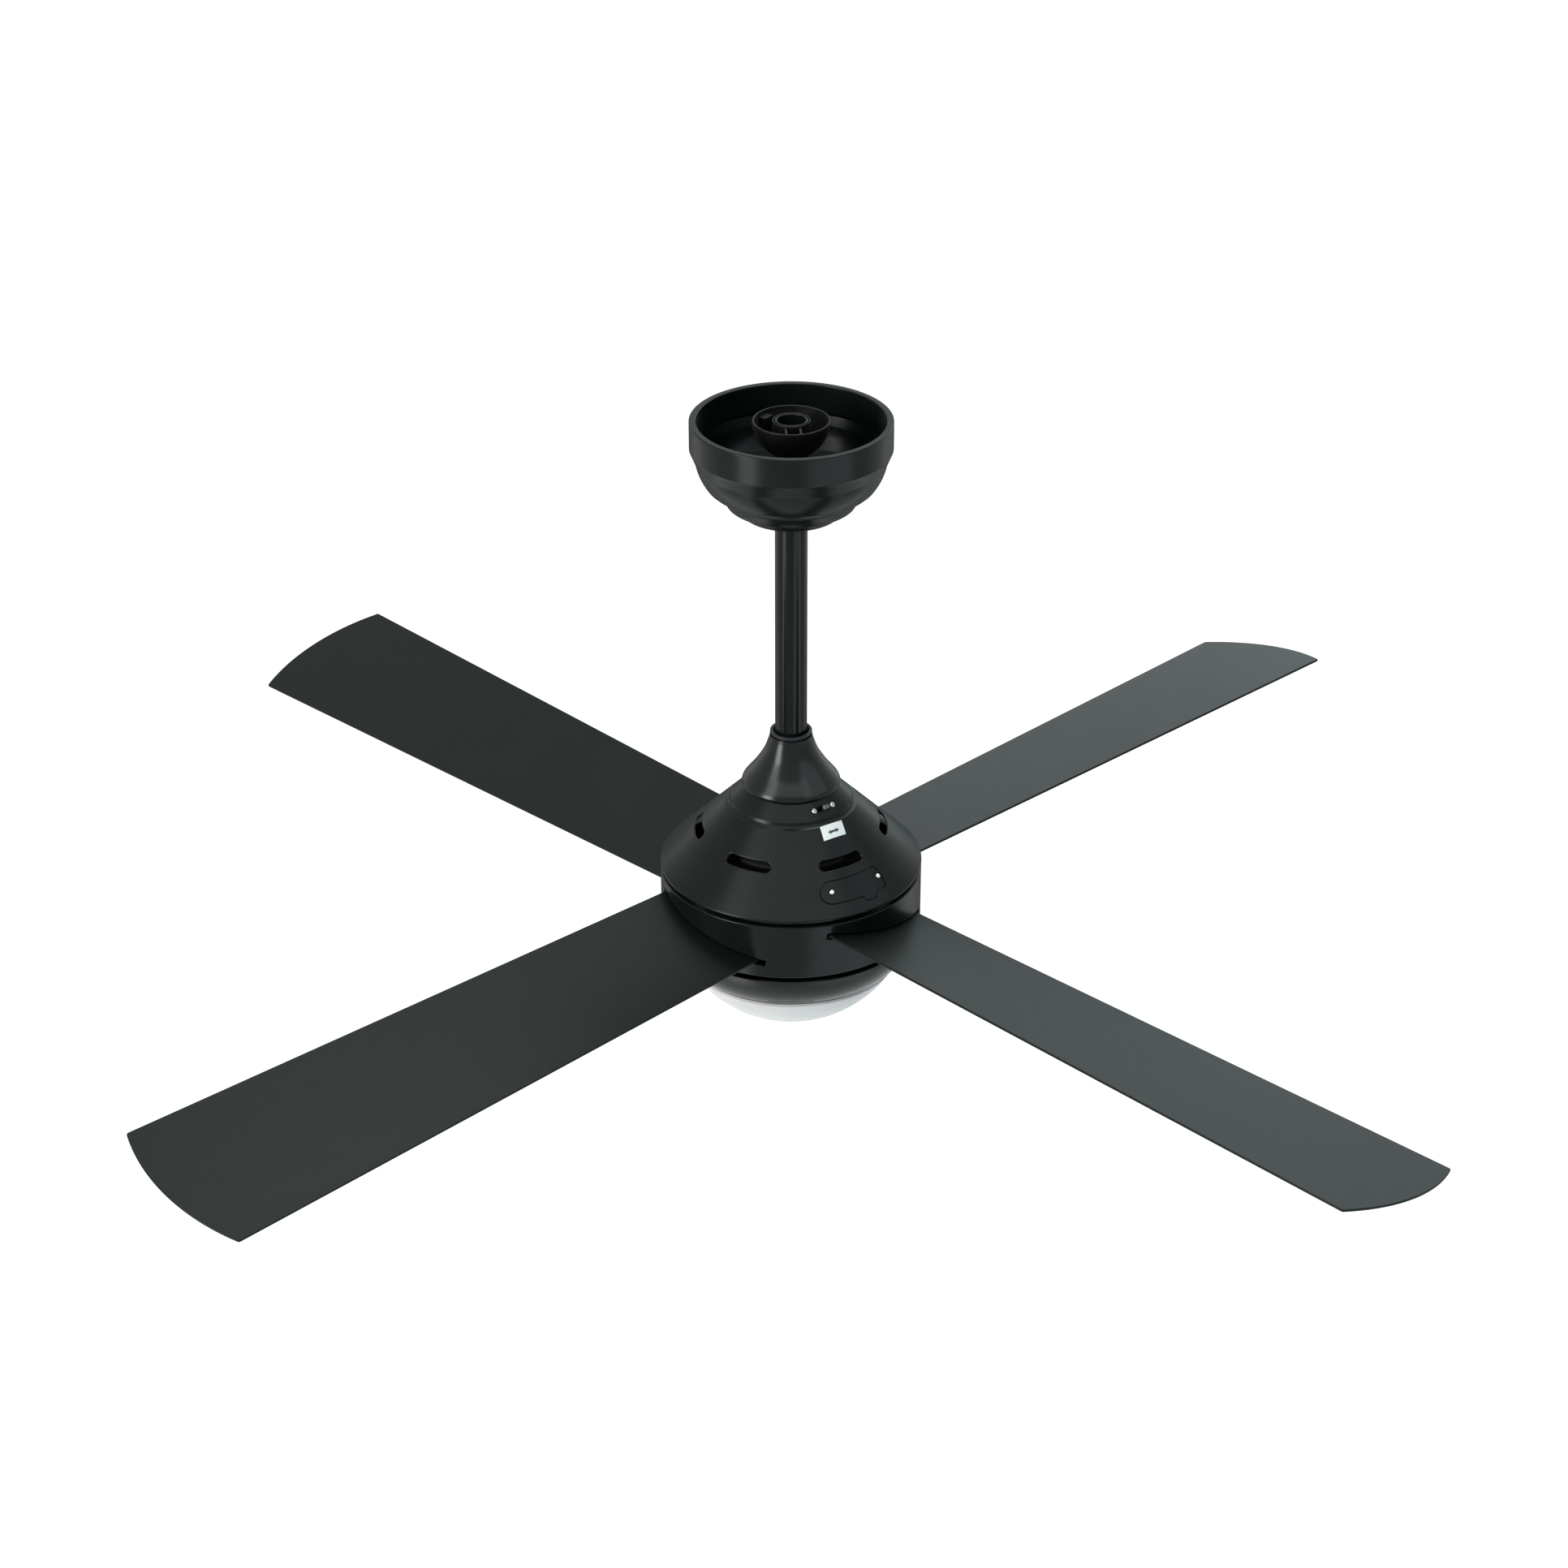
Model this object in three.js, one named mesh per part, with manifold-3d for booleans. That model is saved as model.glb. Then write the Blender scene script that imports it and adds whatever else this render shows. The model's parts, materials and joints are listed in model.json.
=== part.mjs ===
// A four-blade ceiling fan with a light, hung on a downrod from an open canopy.
// Millimetres, +Z up. The origin is the centre of the canopy's rim, in the ceiling plane.
// Every piece that comes off on the bench is its own named mesh.

import * as THREE from 'three';
import { mergeVertices } from 'three/addons/utils/BufferGeometryUtils.js';
import Module from 'manifold-3d';

const wasm = await Module();
wasm.setup();

// ---------------------------------------------------------------- driving dimensions

const GAP = 0.3;                       // clearance left between pieces that touch
const DEG = Math.PI / 180;

// hanging parts
const ROD_R = 12.45;                   // downrod, outside radius
const ROD_WALL = 1.65;
const ROD_BOTTOM = -291;
const SLEEVE_R = ROD_R + GAP;          // bore of whatever sits on the rod
const CANOPY_R = 76.6;
const BALL_R = 29.4;                   // hanger ball, a hemisphere cup centred on the origin
const BALL_WALL = 1.5;
const BOSS_R = 14.2;                   // socket for the rod inside the ball
const PIN_R = 3;                       // pin through ball and rod, and pin through coupling and rod
const PIN_HOLE_R = PIN_R + GAP;
const BALL_PIN_Z = -14;
const BALL_PIN_AZ = -85.6 * DEG;
const KEY_AZ = 141 * DEG;              // keyway in the ball's side
const CLEVIS_PIN_Z = -283;

// motor housing: a 45 degree cone over a straight rotating drum
const CONE_APEX = -269.4;              // height where the cone's slope would meet the axis
const COVER_WALL = 2.2;                // measured square to the cone
const COVER_TOP_R = 34;                // flat crown under the trumpet
const COVER_EDGE_R = 103.6;
const COVER_BOTTOM = -375;
const GROOVE_IN = 48;                  // shallow ring groove pressed in the cone
const GROOVE_OUT = 51.5;
const DRUM_R = 103.4;
const DRUM_WALL = 1.5;
const DRUM_TOP = -377.6;
const DRUM_BOTTOM = -423.6;

// features on the cone; azimuths are counterclockwise from +X
const VENT_COUNT = 6;
const VENT_R = 73.6;                   // plan radius of the vent's middle line
const VENT_HALF_WIDTH = 2.7;
const VENT_HALF_SPAN = 15 * DEG;
const VENT_FIRST = 2.6 * DEG;
const SWITCH_AZ = -53.3 * DEG;
const SWITCH_R = 41.8;
const SWITCH_SCREW_HALF = 8.75;        // half the distance between the two switch screws
const SLOT_HALF_LENGTH = 5.7;
const SLOT_HALF_WIDTH = 2.2;
const HATCH_AZ = -54.65 * DEG;         // access plate in the cone
const HATCH_SCREW_SPAN = 14.4 * DEG;
const HATCH_IN = 82.9;
const HATCH_OUT = 95.2;
const HATCH_ENDS = [9.4, 2.7];         // reach past the screws: a round end and a blunt one
const HATCH_SCREW_R = 88.7;
const COVER_SCREW_HOLE = 1.4;
const [COLUMN_BOTTOM, COLUMN_TOP] = [-380, -320];  // reach of the cutters for plate and vents
const HATCH_BULGE = { azimuth: -50.1 * DEG, half: 4.9 * DEG, rise: 3.3 };

// blades
const BLADE_COUNT = 4;
const BLADE_PHASE = -45.32 * DEG;      // azimuth of the first blade
const BLADE_PITCH = 12.19 * DEG;
const BLADE_TOP = -397.8;              // top face on the blade's middle line
const BLADE_THICK = 2;
const BLADE_SHIFT = 2.5;               // middle line stands off the radius towards the low edge
const BLADE_ROOT_R = 60;
const BLADE_HALF_AT_150 = 53.17;
const BLADE_TAPER = 0.02712;           // growth of the half width per millimetre of radius
const TIP_CORNER_R = 596.2;
const TIP_ARC_R = 160.84;
const TIP_ARC_CENTRE = 449.16;
const BLADE_SCREWS = [[76, -24], [76, 24]];

// motor
const SHAFT_R = 8.5;
const SHAFT_BORE = 5.5;
const MOTOR_R = 62;
const MOTOR_WALL = 2.4;
const MOTOR_TOP = -340;
const MOTOR_SPLIT = -363.95;
const MOTOR_FLOOR = -387.5;
const MOTOR_FLANGE_R = 68;
const BEARING_R = 17.4;
const BEARING_WIDTH = 9.4;
const STATOR_R = 50;
const STATOR_HALF = 11;
const STATOR_MID = -363;
const STATOR_TEETH = 12;
const PAD_TOP = -384;                  // top of the cast blade pads and arms

// light kit
const RING_TOP = -429.2;
const RING_CENTRE_R = 70;              // the side is part of an ellipse round this radius
const RING_A = 30;
const RING_B = 32.4;
const RING_SWEEP = 60 * DEG;
const RING_WALL = 1.4;
const DOME_R = 98.4;
const DOME_CENTRE = -412;
const DOME_EDGE_R = 85;
const DOME_EDGE_Z = -458.4;
const DOME_WALL = 2;
const LUG_COUNT = 3;

// facets round a full turn
const LARGE = 30;
const MEDIUM = 16;
const SMALL = 12;
const TINY = 8;
const HEX = 6;
const MOTOR_FACETS = 16;               // shells and rotor share facets, so they nest

// ---------------------------------------------------------------- materials

function finish(color, roughness, metalness) {
  return new THREE.MeshStandardMaterial({ color, roughness, metalness });
}

const BLACK = finish(0x2c3130, 0.38, 0.35);
const BLACK_PLASTIC = finish(0x232526, 0.55, 0);
const COLLAR = finish(0x3c3a40, 0.7, 0);
const STEEL = finish(0xb9bbbd, 0.3, 0.9);
const ALUMINIUM = finish(0xa9acad, 0.42, 0.8);
const CASTING = finish(0x34363a, 0.45, 0.7);
const LAMINATION = finish(0x5d5f62, 0.5, 0.7);
const COPPER = finish(0xa5562c, 0.4, 0.8);
const NICKEL = finish(0xe4e2da, 0.22, 0.9);
const OPAL = finish(0xd8d8dc, 0.35, 0);
const BOARD = finish(0xe8e8e4, 0.6, 0);
const GREY_PLASTIC = finish(0x6e6a72, 0.5, 0);
const WHITE_PLASTIC = finish(0xdfe0de, 0.5, 0);

// ---------------------------------------------------------------- geometry helpers

// Merge the shared corners, drop flat triangles and turn the faces outward.
function closedMesh(geometry) {
  const bare = geometry.clone();
  bare.deleteAttribute('normal');
  bare.deleteAttribute('uv');
  const merged = mergeVertices(bare, 1e-4);
  const corners = merged.attributes.position.array;
  const index = [...merged.index.array];
  const kept = [];
  let volume = 0;
  for (let i = 0; i < index.length; i += 3) {
    const [a, b, c] = index.slice(i, i + 3);
    if (a === b || b === c || a === c) continue;
    kept.push(a, b, c);
    const [p, q, r] = [a, b, c].map((k) => new THREE.Vector3().fromArray(corners, 3 * k));
    volume += p.dot(q.cross(r));
  }
  if (volume < 0) kept.reverse();
  return { vertProperties: new Float32Array(corners), triVerts: new Uint32Array(kept) };
}

function solid(geometry) {
  return new wasm.Manifold(new wasm.Mesh({ numProp: 3, ...closedMesh(geometry) }));
}

function geometryOf(manifold) {
  const mesh = manifold.getMesh();
  const geometry = new THREE.BufferGeometry();
  const corners = new THREE.BufferAttribute(new Float32Array(mesh.vertProperties), 3);
  geometry.setAttribute('position', corners);
  geometry.setIndex(new THREE.BufferAttribute(new Uint32Array(mesh.triVerts), 1));
  geometry.computeVertexNormals();
  return geometry;
}

// A piece's geometry may come straight from three.js or from a boolean.
function piece(name, shape, material) {
  const geometry = shape.getMesh ? geometryOf(shape) : geometryOf(solid(shape));
  const mesh = new THREE.Mesh(geometry, material);
  mesh.name = name;
  return mesh;
}

// Turn a profile of [radius, height] points about Z.
function revolve(profile, segments = MEDIUM) {
  const points = profile.map(([r, z]) => new THREE.Vector2(Math.max(r, 0), z));
  const onAxis = profile[0][0] === 0 && profile[profile.length - 1][0] === 0;
  if (!onAxis) points.push(points[0].clone());
  return new THREE.LatheGeometry(points, segments).rotateX(Math.PI / 2);
}

function tube(inner, outer, bottom, top, segments = MEDIUM) {
  return revolve([[inner, bottom], [outer, bottom], [outer, top], [inner, top]], segments);
}

function rod(radius, bottom, top, segments = SMALL) {
  return revolve([[0, bottom], [radius, bottom], [radius, top], [0, top]], segments);
}

function box(size, centre) {
  return new THREE.BoxGeometry(...size).translate(...centre);
}

// Points of an arc in a revolve profile.
function arc(centreR, centreZ, radiusR, from, to, steps, radiusZ = radiusR) {
  const points = [];
  for (let i = 0; i <= steps; i += 1) {
    const angle = from + (to - from) * i / steps;
    points.push([centreR + radiusR * Math.cos(angle), centreZ + radiusZ * Math.sin(angle)]);
  }
  return points;
}

function extrude(points, bottom, top) {
  const shape = new THREE.Shape(points.map(([x, y]) => new THREE.Vector2(x, y)));
  const settings = { depth: top - bottom, bevelEnabled: false };
  return new THREE.ExtrudeGeometry(shape, settings).translate(0, 0, bottom);
}

// Lay a shape that was drawn along Z so that its Z axis points along +X.
function alongX(geometry) {
  return geometry.rotateY(Math.PI / 2);
}

function union(first, ...others) {
  return others.reduce((sum, next) => sum.add(next), first);
}

// A frame on the cone: X round the cone counterclockwise, Y up the slope, Z straight out.
function coneFrame(azimuth, radius) {
  const around = new THREE.Vector3(-Math.sin(azimuth), Math.cos(azimuth), 0);
  const out = new THREE.Vector3(Math.cos(azimuth), Math.sin(azimuth), 1).normalize();
  const up = out.clone().cross(around);
  const origin = new THREE.Vector3(radius * Math.cos(azimuth), radius * Math.sin(azimuth),
    CONE_APEX - radius);
  return new THREE.Matrix4().makeBasis(around, up, out).setPosition(origin);
}

// A pan-head screw along Z: the head's underside is at zero and the shank points down.
function screwGeometry(headR, headHeight, shankR, length) {
  return revolve([
    [0, -length], [shankR, -length], [shankR, 0], [headR, 0], [headR, headHeight * 0.5],
    [headR * 0.6, headHeight], [0, headHeight],
  ], TINY);
}

// A hexagon-head screw in the same place.
function hexScrewGeometry(headR, headHeight, shankR, length) {
  return revolve([
    [0, -length], [shankR, -length], [shankR, 0], [headR, 0], [headR, headHeight], [0, headHeight],
  ], HEX);
}

// ---------------------------------------------------------------- canopy and hanger ball

// The rim is thick and flat; below it the shell steps in over a bowl and two smaller tiers.
function canopy() {
  const bowl = [29.4, -24.65];
  const [bowlFrom, bowlTo] = [-12 * DEG, -37 * DEG];
  const outside = [
    [CANOPY_R, 0], [CANOPY_R, -22.2], [75.5, -24.5], [72.3, -32.5],
    ...arc(...bowl, 43.6, bowlFrom, bowlTo, 3), [61.3, -53.5],
    [54, -58], [50.6, -63.2], [49, -66.6], [40.5, -70], [37.4, -74.6], [30, -78], [15.6, -79.4],
  ];
  const inside = [
    [15.6, -78], [29.6, -76.6], [36.1, -73.6], [39.4, -68.8], [47.8, -65.3], [52.6, -57],
    [60.2, -52.5], ...arc(...bowl, 42.2, bowlTo, bowlFrom, 1), [70.9, -32.3],
    [73.6, -24.4], [71.2, -21.8], [71.2, 0],
  ];
  return piece('canopy', revolve([...outside, ...inside], 22), BLACK);
}

// An open hemisphere with a socket for the rod. Two ribs cage the pin: they rise to the rim at
// the front and stop low at the back. A keyway, closed at its top, stops the ball from turning.
function hangerBall() {
  const shellR = BALL_R - BALL_WALL;
  const cup = solid(revolve([
    ...arc(0, 0, BALL_R, -Math.acos(SLEEVE_R / BALL_R), 0, 5),
    ...arc(0, 0, shellR, 0, -Math.acos(BOSS_R / shellR), 3),
    [BOSS_R, 0], [SLEEVE_R, 0],
  ]));
  const innerR = SLEEVE_R + 0.7;
  const outerR = shellR + 0.7;
  const between = solid(revolve([
    [innerR, 0], ...arc(0, 0, outerR, -Math.acos(innerR / outerR), 0, 3),
  ]));
  const [ribHalfGap, ribThick, backRibTop] = [5.4, 1.3, -8];
  const ribs = [-ribHalfGap, ribHalfGap].flatMap((side) => [
    upright([0, BALL_R], [side - ribThick / 2, side + ribThick / 2], 1),
    upright([-BALL_R, 0], [side - ribThick / 2, side + ribThick / 2], backRibTop),
  ]).map((rib) => turned(rib, BALL_PIN_AZ));
  const [padTop, padHalf, slotTop, slotHalf, slotIn] = [-3.5, 4.5, -5.2, 2.5, 24.5];
  const keyPad = turned(upright([21.5, BALL_R], [-padHalf, padHalf], padTop), KEY_AZ);
  const keySlot = turned(upright([slotIn, BALL_R + 3], [-slotHalf, slotHalf], slotTop), KEY_AZ);
  const pinHole = crossHole(PIN_HOLE_R, BALL_PIN_Z, BALL_PIN_AZ, BOSS_R + 1);
  const cage = union(...ribs, keyPad).intersect(between);
  return piece('hanger_ball', cup.add(cage).subtract(pinHole).subtract(keySlot), BLACK_PLASTIC);
}

// A block from under the ball up to a height, between two places on X and two on Y.
function upright([fromX, toX], [fromY, toY], top) {
  const bottom = -BALL_R - 1;
  const size = [toX - fromX, toY - fromY, top - bottom];
  return solid(box(size, [(fromX + toX) / 2, (fromY + toY) / 2, (top + bottom) / 2]));
}

// A cutter across the axis at one height and azimuth.
function crossHole(radius, z, azimuth, halfLength) {
  return solid(alongX(rod(radius, -halfLength, halfLength, SMALL))
    .rotateZ(azimuth).translate(0, 0, z));
}

function ballPin() {
  const pin = rod(PIN_R, -21.5, 21.5);
  return piece('ball_pin', alongX(pin).rotateZ(BALL_PIN_AZ).translate(0, 0, BALL_PIN_Z), STEEL);
}

function downrod() {
  const pipe = solid(tube(ROD_R - ROD_WALL, ROD_R, ROD_BOTTOM, 0, MEDIUM));
  const topHole = crossHole(PIN_HOLE_R, BALL_PIN_Z, BALL_PIN_AZ, ROD_R + 1);
  const bottomHole = crossHole(PIN_HOLE_R, CLEVIS_PIN_Z, 0, ROD_R + 1);
  return piece('downrod', pipe.subtract(topHole).subtract(bottomHole), BLACK);
}

// ---------------------------------------------------------------- trumpet and coupling

// The trumpet flares from the rod to a rolled lip that rests on the cone.
function yokeCover() {
  const flare = [
    [16.6, -262.9], [17.9, -267.8], [21.7, -277.8], [29, -289.6], [34.7, -297], [38.4, -302],
  ].map(([r, z]) => new THREE.Vector2(r, z));
  const outside = new THREE.SplineCurve(flare).getPoints(6);
  const wall = 1.2;
  const inside = outside.map((point, i) => {
    const before = outside[Math.max(i - 1, 0)];
    const after = outside[Math.min(i + 1, outside.length - 1)];
    const along = after.clone().sub(before).normalize();
    return [point.x + along.y * wall, point.y - along.x * wall];
  });
  inside[0] = [flare[0].x - wall, flare[0].y];
  const lip = [[38.8, -303.2], [38.3, -304.5], [37.2, -305], [36.5, -304.6]];
  const profile = [...outside.map((p) => [p.x, p.y]), ...lip, ...inside.reverse()];
  return piece('yoke_cover', revolve(profile, 20), BLACK);
}

// A soft collar that seals the trumpet's neck round the rod.
function neckCollar() {
  return piece('neck_collar', revolve([
    [13.4, -268], [15, -268], [15, -261.2], [16.5, -261.2], [16.5, -259.7], [16, -259.2],
    [14.2, -259.2], [13.4, -262],
  ]), COLLAR);
}

const COUPLING_TOP = -276;
const FLANGE_TOP = -299.2;
const FLANGE_BOTTOM = CONE_APEX - COVER_TOP_R + GAP;
const FLANGE_R = 28;
const SET_SCREW_Z = -289;
const MOUNT_SCREW_R = 22.5;
const MOUNT_SCREWS = [30, 150, 270].map((angle) => angle * DEG);
const M5_HOLE = 2.5;

function polar(radius, azimuth, z = 0) {
  return [radius * Math.cos(azimuth), radius * Math.sin(azimuth), z];
}

function cylinderAt(radius, place, bottom, top, segments = TINY) {
  return solid(rod(radius, bottom, top, segments).translate(place[0], place[1], 0));
}

// The coupling pins the rod to the motor's hollow shaft and carries the housing's crown.
function coupling() {
  let body = solid(revolve([
    [SHAFT_R + GAP, FLANGE_BOTTOM], [FLANGE_R, FLANGE_BOTTOM], [FLANGE_R, FLANGE_TOP],
    [18, FLANGE_TOP], [16, FLANGE_TOP + 3], [16, COUPLING_TOP - 0.8], [15.2, COUPLING_TOP],
    [SLEEVE_R, COUPLING_TOP], [SLEEVE_R, ROD_BOTTOM - GAP], [SHAFT_R + GAP, ROD_BOTTOM - 1],
  ]));
  body = body.subtract(crossHole(PIN_HOLE_R, CLEVIS_PIN_Z, 0, 18));
  body = body.subtract(crossHole(PIN_R - 0.2, SET_SCREW_Z, Math.PI / 2, 18));
  MOUNT_SCREWS.forEach((azimuth) => {
    const place = polar(MOUNT_SCREW_R, azimuth);
    body = body.subtract(cylinderAt(M5_HOLE, place, FLANGE_BOTTOM - 2, FLANGE_TOP + 2));
  });
  return piece('rod_coupling', body, STEEL);
}

const CLIP_X = 18.4;
const CLIP_WIRE_R = 0.8;

function clevisPin() {
  const pin = solid(alongX(revolve([
    [0, -19.2], [4.4, -19.2], [4.4, -16.4], [PIN_R, -16.4], [PIN_R, 20], [2.2, 21], [0, 21],
  ], SMALL)));
  const clipHole = solid(rod(CLIP_WIRE_R + GAP, -5, 5, TINY).rotateX(Math.PI / 2)
    .translate(CLIP_X, 0, 0));
  const mesh = piece('clevis_pin', pin.subtract(clipHole), STEEL);
  mesh.position.z = CLEVIS_PIN_Z;
  return mesh;
}

// The hairpin clip: one leg goes through the pin and the other curls round below it.
function hairpinClip() {
  const route = [
    [7, 0], [0, 0], [-6, 0], [-8.2, -1.6], [-8.2, -3.4], [-6, -4.9], [-3.5, -4.6], [0, -4.4],
    [3, -4.7], [6, -6],
  ].map(([y, z]) => new THREE.Vector3(0, y, z));
  const wire = new THREE.Shape();
  wire.absarc(0, 0, CLIP_WIRE_R, 0, 2 * Math.PI);
  const geometry = new THREE.ExtrudeGeometry(wire, {
    steps: 14, curveSegments: 3, extrudePath: new THREE.CatmullRomCurve3(route),
  });
  const mesh = piece('hairpin_clip', geometry, STEEL);
  mesh.position.set(CLIP_X, 0, CLEVIS_PIN_Z);
  return mesh;
}

// Socket set screws, square to the clevis pin, that stop the rod from rattling.
function setScrews() {
  return [1, -1].map((side, i) => {
    const screw = revolve([
      [0, 0], [1.6, 0], [2.5, 0.9], [2.5, 5.6], [1.3, 5.6], [1.3, 3.8], [0, 3.8],
    ], TINY);
    const mesh = piece(`coupling_set_screw_${i + 1}`, screw, STEEL);
    mesh.rotation.x = -side * Math.PI / 2;
    mesh.position.set(0, side * (SLEEVE_R + 0.05), SET_SCREW_Z);
    return mesh;
  });
}

const BRACKET_TOP = CONE_APEX - COVER_TOP_R - COVER_WALL - GAP;
const BRACKET_THICK = 2;

// The plate under the crown: it clamps the cover to the coupling and carries the capacitor.
function statorBracket() {
  let plate = solid(tube(SHAFT_R + GAP, 31, BRACKET_TOP - BRACKET_THICK, BRACKET_TOP));
  MOUNT_SCREWS.forEach((azimuth) => {
    const place = polar(MOUNT_SCREW_R, azimuth);
    const bottom = BRACKET_TOP - BRACKET_THICK;
    plate = plate.subtract(cylinderAt(M5_HOLE, place, bottom - 2, BRACKET_TOP + 2));
  });
  return piece('stator_bracket', plate, STEEL);
}

function mountingScrews() {
  return MOUNT_SCREWS.map((azimuth, i) => {
    const mesh = piece(`mounting_screw_${i + 1}`, hexScrewGeometry(4, 2.8, 2.1, 12), NICKEL);
    mesh.position.set(...polar(MOUNT_SCREW_R, azimuth, FLANGE_TOP + GAP));
    return mesh;
  });
}

// ---------------------------------------------------------------- motor

const SHAFT_BOTTOM = -440;
const SHAFT_FACETS = 14;

const SHAFT_TOP = ROD_BOTTOM - 1.3;

function motorShaft() {
  const shaft = tube(SHAFT_BORE, SHAFT_R, SHAFT_BOTTOM, SHAFT_TOP, SHAFT_FACETS);
  return piece('motor_shaft', shaft, STEEL);
}

// Outline of the laminations: a hub with T-shaped teeth, grown all round by a clearance.
function laminations(clearance) {
  const hub = 24 + clearance;
  const half = 3.6 + clearance;
  const shoeHalf = 9.6 * DEG + clearance / STATOR_R;
  const shoeIn = 46 - clearance;
  const points = [];
  for (let i = 0; i < STATOR_TEETH; i += 1) {
    const azimuth = (i + 0.5) * 2 * Math.PI / STATOR_TEETH;
    const [hubTurn, shoeTurn] = [half / hub, half / shoeIn];
    points.push(polar(hub, azimuth - hubTurn), polar(shoeIn, azimuth - shoeTurn));
    points.push(polar(STATOR_R + clearance, azimuth - shoeHalf));
    points.push(polar(STATOR_R + clearance, azimuth + shoeHalf));
    points.push(polar(shoeIn, azimuth + shoeTurn), polar(hub, azimuth + hubTurn));
  }
  const stack = STATOR_HALF + clearance;
  return solid(extrude(points, STATOR_MID - stack, STATOR_MID + stack));
}

function statorCore() {
  const past = STATOR_HALF + 1;
  const bore = cylinderAt(SHAFT_R + GAP, [0, 0], STATOR_MID - past, STATOR_MID + past,
    SHAFT_FACETS);
  return piece('stator_core', laminations(0).subtract(bore), LAMINATION);
}

// The coils fill the slots and stand proud of the laminations as two rounded end rings.
function statorWinding() {
  const end = STATOR_HALF + 3.4;
  const coil = solid(revolve([
    [25, -end], [42, -end], [45, -end + 2.4], [45, end - 2.4], [42, end], [25, end],
  ]).translate(0, 0, STATOR_MID));
  return piece('stator_winding', coil.subtract(laminations(GAP)), COPPER);
}

function rotorRing() {
  const [inner, outer] = [STATOR_R + 1.3, MOTOR_R - MOTOR_WALL - GAP];
  const ring = tube(inner, outer, STATOR_MID - STATOR_HALF, STATOR_MID + STATOR_HALF,
    MOTOR_FACETS);
  return piece('rotor_ring', ring, LAMINATION);
}

const BEARING_FACETS = 16;

function bearing(name, bottom) {
  const [inner, outer, top] = [SHAFT_R + GAP, BEARING_R, bottom + BEARING_WIDTH];
  return piece(name, revolve([
    [inner, bottom], [outer, bottom], [outer, top], [inner, top],
  ], BEARING_FACETS), STEEL);
}

const MOTOR_SCREW_COUNT = 3;
const MOTOR_SCREW_R = 65.2;
const MOTOR_SCREW_AZ = 20 * DEG;
const MOTOR_FLANGE_THICK = 2.8;

function motorScrewPlace(i) {
  return polar(MOTOR_SCREW_R, MOTOR_SCREW_AZ + i * 2 * Math.PI / MOTOR_SCREW_COUNT);
}

function drillMotorFlange(shell) {
  let drilled = shell;
  for (let i = 0; i < MOTOR_SCREW_COUNT; i += 1) {
    const hole = cylinderAt(1.7, motorScrewPlace(i), MOTOR_SPLIT - 4, MOTOR_SPLIT + 4);
    drilled = drilled.subtract(hole);
  }
  return drilled;
}

function motorUpperShell() {
  const seat = BEARING_R + GAP;
  const rim = MOTOR_SPLIT + GAP / 2;
  const shell = solid(revolve([
    [10.5, -336], [21, -336], [22.5, MOTOR_TOP], [56, -344], [MOTOR_R, -350],
    [MOTOR_R, rim + MOTOR_FLANGE_THICK], [MOTOR_FLANGE_R, rim + MOTOR_FLANGE_THICK],
    [MOTOR_FLANGE_R, rim], [59.6, rim], [59.6, -350.6], [54.5, -346.6], [20.6, -342.8],
    [20.6, -348.3], [seat, -348.3], [seat, -338.3], [10.5, -338.3],
  ], MOTOR_FACETS));
  return piece('motor_upper_shell', drillMotorFlange(shell), CASTING);
}

// Height of a blade's top face where it stands off the blade's radius by `side`.
function bladeTopAt(side) {
  return BLADE_TOP - side * Math.tan(BLADE_PITCH);
}

// One cast blade pad, drawn with the blade pointing along +X: a flat top, an underside at the
// blade's pitch, and a cored-out middle between the two screw columns.
function bladePad() {
  const [root, tip, half, core, skin] = [55, 92, 36, 16, 3.4];
  const wedge = (from, to, left, right, lift, top) => {
    const outline = [
      [left, bladeTopAt(left) + lift], [right, bladeTopAt(right) + lift], [right, top], [left, top],
    ];
    return solid(extrude(outline, from, to).rotateX(Math.PI / 2).rotateZ(Math.PI / 2));
  };
  const pocket = wedge(root + 12, tip - 3.5, -core, core, GAP + skin, PAD_TOP + 5);
  return wedge(root, tip, -half, half, GAP, PAD_TOP).subtract(pocket);
}

function turned(manifold, azimuth) {
  return manifold.rotate([0, 0, azimuth / DEG]);
}

function bladeAzimuth(i) {
  return BLADE_PHASE + i * 2 * Math.PI / BLADE_COUNT;
}

const ARM_R = 97;
const ARM_HALF = 8;
const RIVET_R = 94;

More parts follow.
